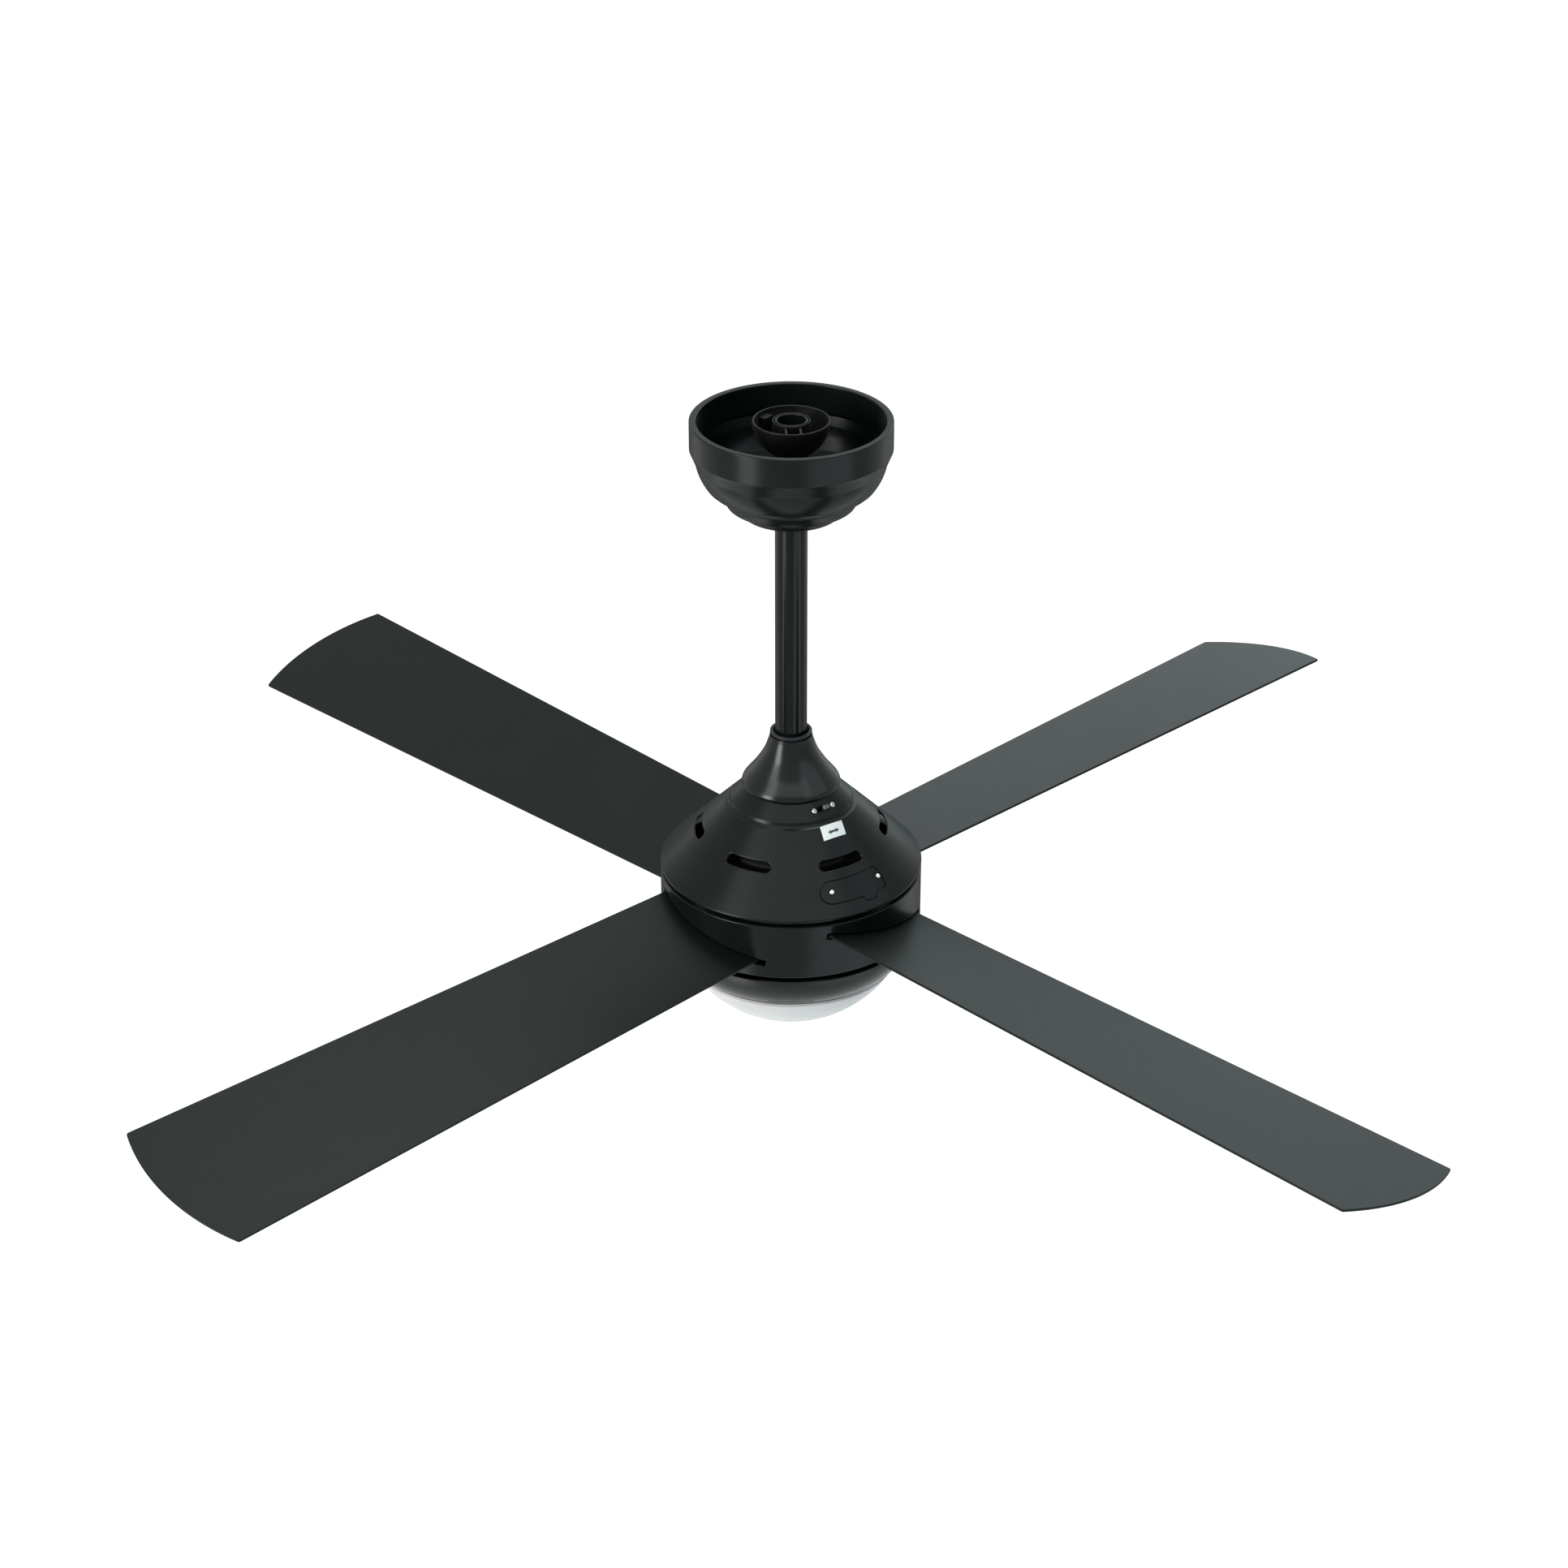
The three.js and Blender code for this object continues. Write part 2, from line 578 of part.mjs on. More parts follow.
// The lower half of the motor's casting carries the blade pads and four arms for the drum.
function motorLowerShell() {
  const seat = BEARING_R + GAP;
  const rim = MOTOR_SPLIT - GAP / 2;
  let shell = drillMotorFlange(solid(revolve([
    [MOTOR_FLANGE_R, rim], [MOTOR_FLANGE_R, rim - MOTOR_FLANGE_THICK],
    [MOTOR_R, rim - MOTOR_FLANGE_THICK], [MOTOR_R, -380], [59, -386], [57, MOTOR_FLOOR],
    [10.5, MOTOR_FLOOR], [10.5, -385.2], [seat, -385.2], [seat, -375.2], [20.6, -375.2],
    [20.6, -383.2], [54, -383.4], [59.6, -378.5], [59.6, rim],
  ], MOTOR_FACETS)));
  for (let i = 0; i < BLADE_COUNT; i += 1) {
    const screwHoles = BLADE_SCREWS.map((place) => bladeScrewHole(place, 2.1, 12));
    const pad = bladePad().subtract(union(...screwHoles));
    const arm = solid(box([ARM_R - 52, 2 * ARM_HALF, PAD_TOP - MOTOR_FLOOR],
      [(ARM_R + 52) / 2, 0, (PAD_TOP + MOTOR_FLOOR) / 2]));
    const rivetHole = cylinderAt(2.5, [RIVET_R, 0], MOTOR_FLOOR - 4, PAD_TOP + 4);
    shell = shell.add(turned(pad, bladeAzimuth(i)));
    shell = shell.add(turned(arm.subtract(rivetHole), bladeAzimuth(i + 0.5)));
  }
  return piece('motor_lower_shell', shell, CASTING);
}

function motorScrews() {
  const meshes = [];
  for (let i = 0; i < MOTOR_SCREW_COUNT; i += 1) {
    const mesh = piece(`motor_screw_${i + 1}`, hexScrewGeometry(2.6, 2, 1.4, 9), NICKEL);
    const [x, y] = motorScrewPlace(i);
    mesh.position.set(x, y, MOTOR_SPLIT + GAP / 2 + MOTOR_FLANGE_THICK + GAP);
    meshes.push(mesh);
  }
  return meshes;
}

// ---------------------------------------------------------------- blades

// A frame in the blade: X out along the blade, Y square to it, Z out of the top face.
function bladeFrame() {
  return new THREE.Matrix4().makeTranslation(0, 0, BLADE_TOP)
    .multiply(new THREE.Matrix4().makeRotationX(-BLADE_PITCH));
}

function bladeScrewHole([x, side], radius, depth) {
  const hole = rod(radius, -6, depth, TINY).translate(x, side / Math.cos(BLADE_PITCH), 0);
  return solid(hole.applyMatrix4(bladeFrame()));
}

// A flat pressed sheet: a clipped root, straight sides that spread, and a broad arc at the tip.
function blade(i) {
  const halfAt = (r) => BLADE_HALF_AT_150 + BLADE_TAPER * (r - 150);
  const neck = 36;
  const clip = 14;
  const corner = 5;
  const tipHalf = halfAt(TIP_CORNER_R);
  const tipTurn = Math.asin(tipHalf / TIP_ARC_R);
  const shape = new THREE.Shape();
  shape.moveTo(BLADE_ROOT_R, BLADE_SHIFT - neck);
  shape.lineTo(BLADE_ROOT_R + clip, BLADE_SHIFT - halfAt(BLADE_ROOT_R + clip));
  shape.lineTo(TIP_CORNER_R - corner, BLADE_SHIFT - halfAt(TIP_CORNER_R - corner));
  const tip = arc(TIP_ARC_CENTRE, BLADE_SHIFT, TIP_ARC_R, -tipTurn + corner / TIP_ARC_R,
    tipTurn - corner / TIP_ARC_R, 8);
  shape.quadraticCurveTo(TIP_CORNER_R, BLADE_SHIFT - tipHalf, ...tip[0]);
  tip.slice(1).forEach(([x, y]) => shape.lineTo(x, y));
  shape.quadraticCurveTo(TIP_CORNER_R, BLADE_SHIFT + tipHalf,
    TIP_CORNER_R - corner, BLADE_SHIFT + halfAt(TIP_CORNER_R - corner));
  shape.lineTo(BLADE_ROOT_R + clip, BLADE_SHIFT + halfAt(BLADE_ROOT_R + clip));
  shape.lineTo(BLADE_ROOT_R, BLADE_SHIFT + neck);
  BLADE_SCREWS.forEach(([x, side]) => {
    const hole = new THREE.Path();
    hole.absarc(x, side / Math.cos(BLADE_PITCH), 2.6, 0, 2 * Math.PI);
    shape.holes.push(hole);
  });
  const settings = { depth: BLADE_THICK, bevelEnabled: false, curveSegments: 3 };
  const sheet = new THREE.ExtrudeGeometry(shape, settings).translate(0, 0, -BLADE_THICK);
  const mesh = piece(`blade_${i + 1}`, sheet, BLACK);
  mesh.applyMatrix4(bladeFrame());
  return mesh;
}

// The blade screws go in from below, square to the blade.
function bladeScrews(i) {
  return BLADE_SCREWS.map(([x, side], k) => {
    const screw = hexScrewGeometry(4.6, 2.6, 1.8, 9).rotateX(Math.PI)
      .translate(x, side / Math.cos(BLADE_PITCH), -BLADE_THICK - GAP);
    const mesh = piece(`blade_screw_${2 * i + k + 1}`, screw, NICKEL);
    mesh.applyMatrix4(bladeFrame());
    return mesh;
  });
}

function bladeSet() {
  const group = new THREE.Group();
  for (let i = 0; i < BLADE_COUNT; i += 1) {
    const spoke = new THREE.Group();
    spoke.add(blade(i), ...bladeScrews(i));
    spoke.rotation.z = bladeAzimuth(i);
    group.add(spoke);
  }
  return group;
}

// ---------------------------------------------------------------- drum

// A deep band with its edges turned in, four tilted slots for the blades, and four ledges that
// are riveted to the motor's arms.
function drum() {
  const inner = DRUM_R - DRUM_WALL;
  let band = solid(revolve([
    [90, DRUM_BOTTOM], [DRUM_R, DRUM_BOTTOM], [DRUM_R, DRUM_TOP], [97.5, DRUM_TOP],
    [97.5, DRUM_TOP - DRUM_WALL], [inner, DRUM_TOP - DRUM_WALL],
    [inner, DRUM_BOTTOM + DRUM_WALL], [90, DRUM_BOTTOM + DRUM_WALL],
  ], LARGE));
  const ledgeTop = MOTOR_FLOOR - GAP;
  const ledge = solid(box([13, 18, 3], [96.4, 0, ledgeTop - 1.5]));
  const stem = cylinderAt(2.2, [RIVET_R, 0], ledgeTop - 1, PAD_TOP + GAP);
  const head = cylinderAt(3.6, [RIVET_R, 0], PAD_TOP + GAP - 0.01, PAD_TOP + 1.8);
  const [slotLength, slotHeight, slotShift] = [111.4, 5.6, 4.3];
  const slot = solid(box([50, slotLength, slotHeight], [95, slotShift, -BLADE_THICK / 2])
    .applyMatrix4(bladeFrame()));
  const fitting = union(ledge, stem, head);
  for (let i = 0; i < BLADE_COUNT; i += 1) {
    band = band.subtract(turned(slot, bladeAzimuth(i)));
  }
  for (let i = 0; i < BLADE_COUNT; i += 1) {
    band = band.add(turned(fitting, bladeAzimuth(i + 0.5)));
  }
  return piece('drum', band, BLACK);
}

// ---------------------------------------------------------------- stationary cover

// The cover's outline, from the crown out to the lip.
function coverOutline() {
  const cone = (r) => [r, CONE_APEX - r];
  const sunk = (r, depth) => [r - depth * Math.SQRT1_2, CONE_APEX - r - depth * Math.SQRT1_2];
  return [
    cone(COVER_TOP_R), cone(GROOVE_IN), sunk(GROOVE_IN + 1.3, 0.8), sunk(GROOVE_OUT - 1, 0.8),
    cone(GROOVE_OUT), cone(COVER_EDGE_R - 1.4), [COVER_EDGE_R, CONE_APEX - COVER_EDGE_R - 0.6],
  ];
}

// A skin of the cone between two depths below its outer face.
function coverLayer(outerDepth, innerDepth) {
  const at = (depth) => [COVER_TOP_R + 10, COVER_EDGE_R - 1].map((r) => [
    r - depth * Math.SQRT1_2, CONE_APEX - r - depth * Math.SQRT1_2]);
  return solid(revolve([...at(outerDepth), ...at(innerDepth).reverse()], LARGE));
}

// Plan outline of a slot or plate bent round the axis, with round ends that reach a given
// distance past its span, and an optional bulge on its outer side.
function bentOutline(azimuth, halfSpan, [inner, outer], ends, steps, grow = 0, bulge = null) {
  const points = [];
  const [inR, outR] = [inner - grow, outer + grow];
  const [middle, reach] = [(inR + outR) / 2, (outR - inR) / 2];
  for (let i = 0; i <= steps; i += 1) {
    const turn = azimuth + halfSpan * (2 * i / steps - 1);
    const off = bulge ? (turn - bulge.azimuth) / bulge.half : 2;
    points.push(polar(outR + (off * off < 1 ? bulge.rise * Math.sqrt(1 - off * off) : 0), turn));
  }
  const endCap = (side, endReach) => {
    for (let i = 1; i < 4; i += 1) {
      const angle = Math.PI / 2 - i * Math.PI / 4;
      const radius = middle + side * reach * Math.sin(angle);
      const lead = (endReach + grow * Math.SQRT2) * Math.cos(angle) / middle;
      points.push(polar(radius, azimuth + side * (halfSpan + lead)));
    }
  };
  endCap(1, ends[1]);
  for (let i = steps; i >= 0; i -= 2) {
    points.push(polar(inR, azimuth + halfSpan * (2 * i / steps - 1)));
  }
  endCap(-1, ends[0]);
  return points;
}

// A column with the access plate's outline, grown all round, that reaches past the cover.
function hatchColumn(grow) {
  const outline = bentOutline(HATCH_AZ, HATCH_SCREW_SPAN, [HATCH_IN, HATCH_OUT], HATCH_ENDS, 8,
    grow, HATCH_BULGE);
  return solid(extrude(outline, COLUMN_BOTTOM, COLUMN_TOP));
}

function hatchScrewFrame(side) {
  return coneFrame(HATCH_AZ + side * HATCH_SCREW_SPAN, HATCH_SCREW_R);
}

function ventCutter(i) {
  const azimuth = VENT_FIRST + i * 2 * Math.PI / VENT_COUNT;
  const endReach = VENT_HALF_WIDTH * Math.SQRT2;
  const halfSpan = VENT_HALF_SPAN - endReach / VENT_R;
  const outline = bentOutline(azimuth, halfSpan,
    [VENT_R - VENT_HALF_WIDTH, VENT_R + VENT_HALF_WIDTH], [endReach, endReach], 4);
  return solid(extrude(outline, COLUMN_BOTTOM, COLUMN_TOP));
}

function topCover() {
  const crown = CONE_APEX - COVER_TOP_R;
  const sink = COVER_WALL * Math.SQRT2;
  let shell = solid(revolve([
    [12, crown], ...coverOutline(), [COVER_EDGE_R, COVER_BOTTOM], [COVER_EDGE_R - 2, COVER_BOTTOM],
    [COVER_EDGE_R - 2, CONE_APEX - COVER_EDGE_R + 2 - sink],
    [COVER_TOP_R - sink + COVER_WALL, crown - COVER_WALL], [12, crown - COVER_WALL],
  ], LARGE));
  for (let i = 0; i < VENT_COUNT; i += 1) {
    shell = shell.subtract(ventCutter(i));
  }
  const [seam, recessDepth, shelf] = [0.35, 1.1, 3.2];
  shell = shell.subtract(hatchColumn(seam).intersect(coverLayer(-2, recessDepth)));
  shell = shell.subtract(hatchColumn(-shelf));
  MOUNT_SCREWS.forEach((azimuth) => {
    const place = polar(MOUNT_SCREW_R, azimuth);
    shell = shell.subtract(cylinderAt(M5_HOLE, place, crown - COVER_WALL - 2, crown + 2));
  });
  const slot = solid(box([2 * SLOT_HALF_LENGTH, 2 * SLOT_HALF_WIDTH, 10], [0, 0, 0])
    .applyMatrix4(coneFrame(SWITCH_AZ, SWITCH_R)));
  shell = shell.subtract(slot);
  [-1, 1].forEach((side) => {
    const switchHole = rod(COVER_SCREW_HOLE, -6, 3, TINY)
      .translate(side * SWITCH_SCREW_HALF, 0, 0).applyMatrix4(coneFrame(SWITCH_AZ, SWITCH_R));
    const hatchHole = rod(COVER_SCREW_HOLE, -4, 1, TINY).applyMatrix4(hatchScrewFrame(side));
    shell = shell.subtract(solid(switchHole)).subtract(solid(hatchHole));
  });
  return piece('top_cover', shell, BLACK);
}

function accessPlate() {
  const thick = 0.8;
  let plate = hatchColumn(0).intersect(coverLayer(0, thick));
  [-1, 1].forEach((side) => {
    const hole = rod(COVER_SCREW_HOLE, -4, 2, TINY).applyMatrix4(hatchScrewFrame(side));
    plate = plate.subtract(solid(hole));
  });
  return piece('access_plate', plate, BLACK);
}

function accessScrews() {
  return [-1, 1].map((side, i) => {
    const screw = screwGeometry(2.3, 1.3, 1.1, 4.5).translate(0, 0, GAP);
    const mesh = piece(`access_screw_${i + 1}`, screw, NICKEL);
    mesh.applyMatrix4(hatchScrewFrame(side));
    return mesh;
  });
}

// ---------------------------------------------------------------- reversing switch, capacitor

const SWITCH_PLATE_TOP = -3.8;
const KNOB_REST = 2.9;                 // the knob is stored at the right-hand end of its slot

function reverseSwitch() {
  const plate = box([24, 7, 1], [0, 0, SWITCH_PLATE_TOP - 0.5]);
  const body = box([13, 7, 9.5], [0, 0, SWITCH_PLATE_TOP - 5.25]);
  const channel = box([12.4, 2.6, 6], [0, 0, SWITCH_PLATE_TOP - 0.4]);
  let unit = solid(plate).add(solid(body)).subtract(solid(channel));
  [-1, 1].forEach((side) => {
    const hole = rod(COVER_SCREW_HOLE, -6, 0, TINY).translate(side * SWITCH_SCREW_HALF, 0, 0);
    unit = unit.subtract(solid(hole));
  });
  const mesh = piece('reverse_switch', unit, BLACK_PLASTIC);
  mesh.applyMatrix4(coneFrame(SWITCH_AZ, SWITCH_R));
  return mesh;
}

function switchKnob() {
  const cap = solid(box([5.2, 3.4, 4.2], [KNOB_REST, 0, -1.1]));
  const tongue = solid(box([3, 2, 4], [KNOB_REST, 0, -4.4]));
  const mesh = piece('switch_knob', cap.add(tongue), GREY_PLASTIC);
  mesh.applyMatrix4(coneFrame(SWITCH_AZ, SWITCH_R));
  return mesh;
}

function switchScrews() {
  return [-1, 1].map((side, i) => {
    const screw = screwGeometry(2.2, 1.4, 1.1, 6).translate(side * SWITCH_SCREW_HALF, 0, -0.1);
    const mesh = piece(`switch_screw_${i + 1}`, screw, NICKEL);
    mesh.applyMatrix4(coneFrame(SWITCH_AZ, SWITCH_R));
    return mesh;
  });
}

// The run capacitor hangs under the stator bracket, across from the switch.
function runCapacitor() {
  const top = BRACKET_TOP - BRACKET_THICK - GAP;
  const shape = [[13.5, -15], [33, -15], [34, -14], [34, 14], [33, 15], [13.5, 15]];
  const bodyHeight = 20;
  const body = solid(extrude(shape, top - 3 - bodyHeight, top - 3));
  const foot = solid(box([12, 10, 3.2], [22, 0, top - 1.6]));
  return piece('run_capacitor', turned(body.add(foot), SWITCH_AZ + Math.PI), BLACK_PLASTIC);
}

// ---------------------------------------------------------------- light kit

const LIGHT_PLATE_TOP = RING_TOP + 2.3;
const LIGHT_SCREW_R = 38;
const LIGHT_HOLE = 2;
const LIGHT_SCREWS = [30, 150, 270].map((angle) => angle * DEG);
const RING_FLOOR = RING_TOP - 1.5;

function lightPlate() {
  let plate = solid(tube(SHAFT_R + GAP, 46, RING_TOP + GAP, LIGHT_PLATE_TOP));
  LIGHT_SCREWS.forEach((azimuth) => {
    const place = polar(LIGHT_SCREW_R, azimuth);
    plate = plate.subtract(cylinderAt(LIGHT_HOLE, place, RING_TOP - 2, LIGHT_PLATE_TOP + 2));
  });
  return piece('light_plate', plate, STEEL);
}

function shaftNut() {
  const top = RING_TOP;
  const hexagon = [];
  for (let i = 0; i < 6; i += 1) hexagon.push(polar(14, i * Math.PI / 3));
  const blank = solid(extrude(hexagon, top - 6, top));
  const bore = cylinderAt(SHAFT_R + GAP, [0, 0], top - 8, top + 2, SHAFT_FACETS);
  return piece('shaft_nut', blank.subtract(bore), STEEL);
}

function lightScrews() {
  return LIGHT_SCREWS.map((azimuth, i) => {
    const screw = hexScrewGeometry(3.4, 2, 1.6, 7).rotateX(Math.PI);
    const mesh = piece(`light_screw_${i + 1}`, screw, NICKEL);
    mesh.position.set(...polar(LIGHT_SCREW_R, azimuth, RING_FLOOR - GAP));
    return mesh;
  });
}

// The pan that closes the fan's underside: its side curves in, and three tabs inside its mouth
// carry the diffuser.
function lightRing() {
  const outside = arc(RING_CENTRE_R, RING_TOP - 0.8, RING_A, 0, -RING_SWEEP, 5, RING_B);
  const inside = arc(RING_CENTRE_R, RING_FLOOR, RING_A - RING_WALL, -RING_SWEEP, 0, 3,
    RING_B - RING_WALL);
  let ring = solid(revolve([
    [24, RING_TOP], [RING_CENTRE_R + RING_A - 0.8, RING_TOP], ...outside, ...inside,
    [24, RING_FLOOR],
  ], 26));
  LIGHT_SCREWS.forEach((azimuth) => {
    const place = polar(LIGHT_SCREW_R, azimuth);
    ring = ring.subtract(cylinderAt(LIGHT_HOLE, place, RING_FLOOR - 2, RING_TOP + 2));
  });
  for (let i = 0; i < LUG_COUNT; i += 1) {
    ring = ring.add(bayonetSegment(83.2, 92.2, TAB_BOTTOM, TAB_TOP, i));
  }
  return piece('light_ring', ring, BLACK);
}

const TAB_TOP = -450.6;
const TAB_BOTTOM = -452.2;
const LUG_HALF_SPAN = 11 * DEG;

// A short arc of a ring, one of three alike.
function bayonetSegment(inner, outer, bottom, top, i) {
  const middle = (i + 0.25) * 2 * Math.PI / LUG_COUNT;
  const points = [];
  for (let k = -2; k <= 2; k += 1) points.push(polar(outer, middle + k * LUG_HALF_SPAN / 2));
  for (let k = 2; k >= -2; k -= 1) points.push(polar(inner, middle + k * LUG_HALF_SPAN / 2));
  return solid(extrude(points, bottom, top));
}

// An opal bowl with a straight neck; its lugs rest on the ring's tabs.
function diffuser() {
  const neck = 82.6;
  const neckTop = -447;
  const edgeTurn = -Math.acos(85.6 / DOME_R);
  const innerR = DOME_R - DOME_WALL;
  const bowl = solid(revolve([
    [neck - 1.8, neckTop], [neck, neckTop], [neck, DOME_EDGE_Z], [DOME_EDGE_R, DOME_EDGE_Z],
    ...arc(0, DOME_CENTRE, DOME_R, edgeTurn, -Math.PI / 2, 6),
    ...arc(0, DOME_CENTRE, innerR, -Math.PI / 2, -Math.acos((neck - 1.8) / innerR), 4),
  ], 24));
  const lugs = [];
  for (let i = 0; i < LUG_COUNT; i += 1) {
    lugs.push(bayonetSegment(neck - 1, 86.4, TAB_TOP + GAP, TAB_TOP + GAP + 1.6, i));
  }
  return piece('diffuser', bowl.add(union(...lugs)), OPAL);
}

const TRAY_TOP = -441.5;
const TRAY_THICK = 1.2;
const LEG_R = 66;
const LEGS = [90, 210, 330].map((angle) => angle * DEG);

// The tray hangs on three pillars under the ring's floor and spreads the board's heat.
function ledTray() {
  let tray = solid(rod(76, TRAY_TOP - TRAY_THICK, TRAY_TOP, 24));
  LEGS.forEach((azimuth) => {
    const pillar = cylinderAt(3, polar(LEG_R, azimuth), TRAY_TOP - 0.5, RING_FLOOR - GAP, TINY);
    tray = tray.add(pillar);
  });
  return piece('led_tray', tray, ALUMINIUM);
}

function ledBoard() {
  const top = TRAY_TOP - TRAY_THICK - GAP;
  return piece('led_board', rod(70, top - 1.6, top, 24), BOARD);
}

function ledDriver() {
  const bottom = TRAY_TOP + GAP;
  const height = 8.6;
  return piece('led_driver', box([72, 32, height], [0, 42.5, bottom + height / 2]), WHITE_PLASTIC);
}

// ---------------------------------------------------------------- assembly

const ceilingFan = new THREE.Group();
ceilingFan.add(
  canopy(), hangerBall(), ballPin(), downrod(), yokeCover(), neckCollar(),
  coupling(), clevisPin(), hairpinClip(), ...setScrews(),
  statorBracket(), ...mountingScrews(),
  motorShaft(), statorCore(), statorWinding(), rotorRing(),
  bearing('upper_bearing', -348), bearing('lower_bearing', -384.9),
  motorUpperShell(), motorLowerShell(), ...motorScrews(),
  drum(), bladeSet(),
  topCover(), accessPlate(), ...accessScrews(),
  reverseSwitch(), switchKnob(), ...switchScrews(), runCapacitor(),
  lightPlate(), shaftNut(), lightRing(), ...lightScrews(), diffuser(),
  ledTray(), ledBoard(), ledDriver(),
);

export default ceilingFan;
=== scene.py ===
"""Looks for a four-blade ceiling fan with a light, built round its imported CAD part.

Lengths are in millimetres in the part's frame: +Z up, the origin at the centre of the canopy's
rim. MM turns them into Blender's metres where a mesh, lamp or camera is made.
"""
import json
from math import acos, asin, atan2, cos, pi, radians, sin, sqrt, tan

import bmesh
import bpy
from mathutils import Matrix, Vector

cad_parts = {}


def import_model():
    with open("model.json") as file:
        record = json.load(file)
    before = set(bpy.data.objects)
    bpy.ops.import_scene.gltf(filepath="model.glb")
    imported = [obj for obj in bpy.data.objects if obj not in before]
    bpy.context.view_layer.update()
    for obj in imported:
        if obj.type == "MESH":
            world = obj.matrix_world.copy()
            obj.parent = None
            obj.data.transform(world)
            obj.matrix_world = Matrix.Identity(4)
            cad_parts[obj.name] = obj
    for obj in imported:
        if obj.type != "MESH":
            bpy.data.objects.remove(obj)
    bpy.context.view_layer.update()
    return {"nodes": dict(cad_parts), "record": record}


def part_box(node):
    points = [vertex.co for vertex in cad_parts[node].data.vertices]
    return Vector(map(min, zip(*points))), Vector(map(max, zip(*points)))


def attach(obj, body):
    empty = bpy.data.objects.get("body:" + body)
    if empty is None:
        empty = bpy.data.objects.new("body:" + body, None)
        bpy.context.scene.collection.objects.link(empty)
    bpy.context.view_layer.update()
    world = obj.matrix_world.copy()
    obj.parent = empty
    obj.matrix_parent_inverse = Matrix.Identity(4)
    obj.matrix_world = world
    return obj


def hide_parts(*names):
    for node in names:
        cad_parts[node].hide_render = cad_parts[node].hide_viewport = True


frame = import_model()

MM = 0.001
ROOT2 = sqrt(2)

# ---------------------------------------------------------------- camera

CAMERA_AT = (0, -2482.4, 1033.6)
CAMERA_LOOKS_AT = (-5.5, 0, -308.1)
CAMERA_LENS = 82.58
CAMERA_SENSOR = 36
CAMERA_REACH = 100                     # in metres


def camera():
    data = bpy.data.cameras.new("camera")
    data.sensor_width = CAMERA_SENSOR
    data.lens = CAMERA_LENS
    data.clip_end = CAMERA_REACH
    made = bpy.data.objects.new("camera", data)
    made.location = Vector(CAMERA_AT) * MM
    sight = Vector(CAMERA_LOOKS_AT) - Vector(CAMERA_AT)
    made.rotation_euler = sight.to_track_quat("-Z", "Y").to_euler()
    bpy.context.scene.collection.objects.link(made)
    bpy.context.scene.camera = made


camera()

# ---------------------------------------------------------------- sizes read from the frame


def low(node):
    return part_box(node)[0] / MM


def high(node):
    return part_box(node)[1] / MM


GAP = 0.3                              # clearance between pieces that touch
ROD_R = high("downrod").y
ROD_BOTTOM = low("downrod").z
ROD_WALL = 1.65
CANOPY_R = high("canopy").y
CANOPY_FOOT = low("canopy").z
BALL_R = high("hanger_ball").y
BALL_WALL = 1.5
BOSS_R = 14.2
BALL_PIN_Z = (high("ball_pin").z + low("ball_pin").z) / 2
PIN_R = high("ball_pin").z - BALL_PIN_Z
BALL_PIN_AZ = radians(-85.6)
CLEVIS_PIN_Z = -283
SET_SCREW_Z = -289
SHAFT_R = 8.5
KEY_AZ = radians(141)                  # keyway in the ball's side

CROWN_Z = high("top_cover").z          # flat crown of the housing, under the trumpet
CROWN_R = 34
CONE_APEX = CROWN_Z + CROWN_R          # the housing is a 45 degree cone below the crown
COVER_R = high("top_cover").y
COVER_FOOT = low("top_cover").z
COVER_WALL = 2.2
COVER_LIFT = 0.4                       # lifts the cone's foot, for a clear dark line over the drum
THIRDS = [radians(angle) for angle in (30, 150, 270)]    # for the mounting and the light's screws
MOUNT_SCREW_R = 22.5
MOUNT_HOLE_R = 2.5
SMALL_HOLE_R = 1.4                     # for the screws of the access plate and the switch

VENT_COUNT = 6
VENT_R = 73.6
VENT_HALF_WIDTH = 2.9                  # in plan
VENT_HALF_SPAN = radians(15)
VENT_FIRST = radians(2.6)
VENT_LIP = 1.2                         # radius of the rolled lip
VENT_UNDERCUT = 1.6                    # how much wider a vent is inside, so that its wall looks thin
SWITCH_AZ = radians(-53.3)
SWITCH_R = 41.8
SWITCH_SCREW_HALF = 8.75
SLOT_HALF = (5.7, 2.2)
HATCH_AZ = radians(-54.65)
HATCH_HALF_SPAN = radians(14.4)
HATCH_IN = 82.9
HATCH_OUT = 95.2
HATCH_ENDS = (9.4, 2.7)                # reach past the screws: a round end and a blunt one
HATCH_SCREW_R = 88.7
HATCH_SEAM = 0.9                       # groove round the access plate
HATCH_SINK = 1.8                       # depth of the recess that the plate lies in
HATCH_THICK = 1.5
HATCH_LEDGE = 2.6                      # width of the rest under the plate's edge
HATCH_BULGE_AZ = radians(-50.1)
HATCH_BULGE_HALF = radians(4.75)
HATCH_BULGE_RISE = 3.25
LABEL_AZ = radians(-53.65)
LABEL_R = 55.4
LABEL_SIZE = (20.8, 11.5)
LABEL_TURN = radians(-1.4)             # the label was stuck on a little crooked
LABEL_LEAN = 0.13

DRUM_R = high("drum").y
DRUM_TOP = high("drum").z
DRUM_FOOT = low("drum").z
DRUM_WALL = 1.5
DRUM_DROP = 0.8                        # lowers the drum's rim, for the dark line under the cone

BLADE_COUNT = 4
BLADE_PHASE = radians(-45.32)
BLADE_PITCH = radians(12.19)
BLADE_TOP = -397.8                     # top face on the blade's middle line
BLADE_THICK = 2
BLADE_SHIFT = 2.5
BLADE_ROOT_R = 60
BLADE_CORNER_R = 596.2                 # where the straight sides meet the tip's arc
BLADE_SCREWS = ((76, -24), (76, 24))
BLADE_HOLE_R = 2.6
TIP_ARC_R = 160.84
TIP_ARC_CENTRE = 449.16

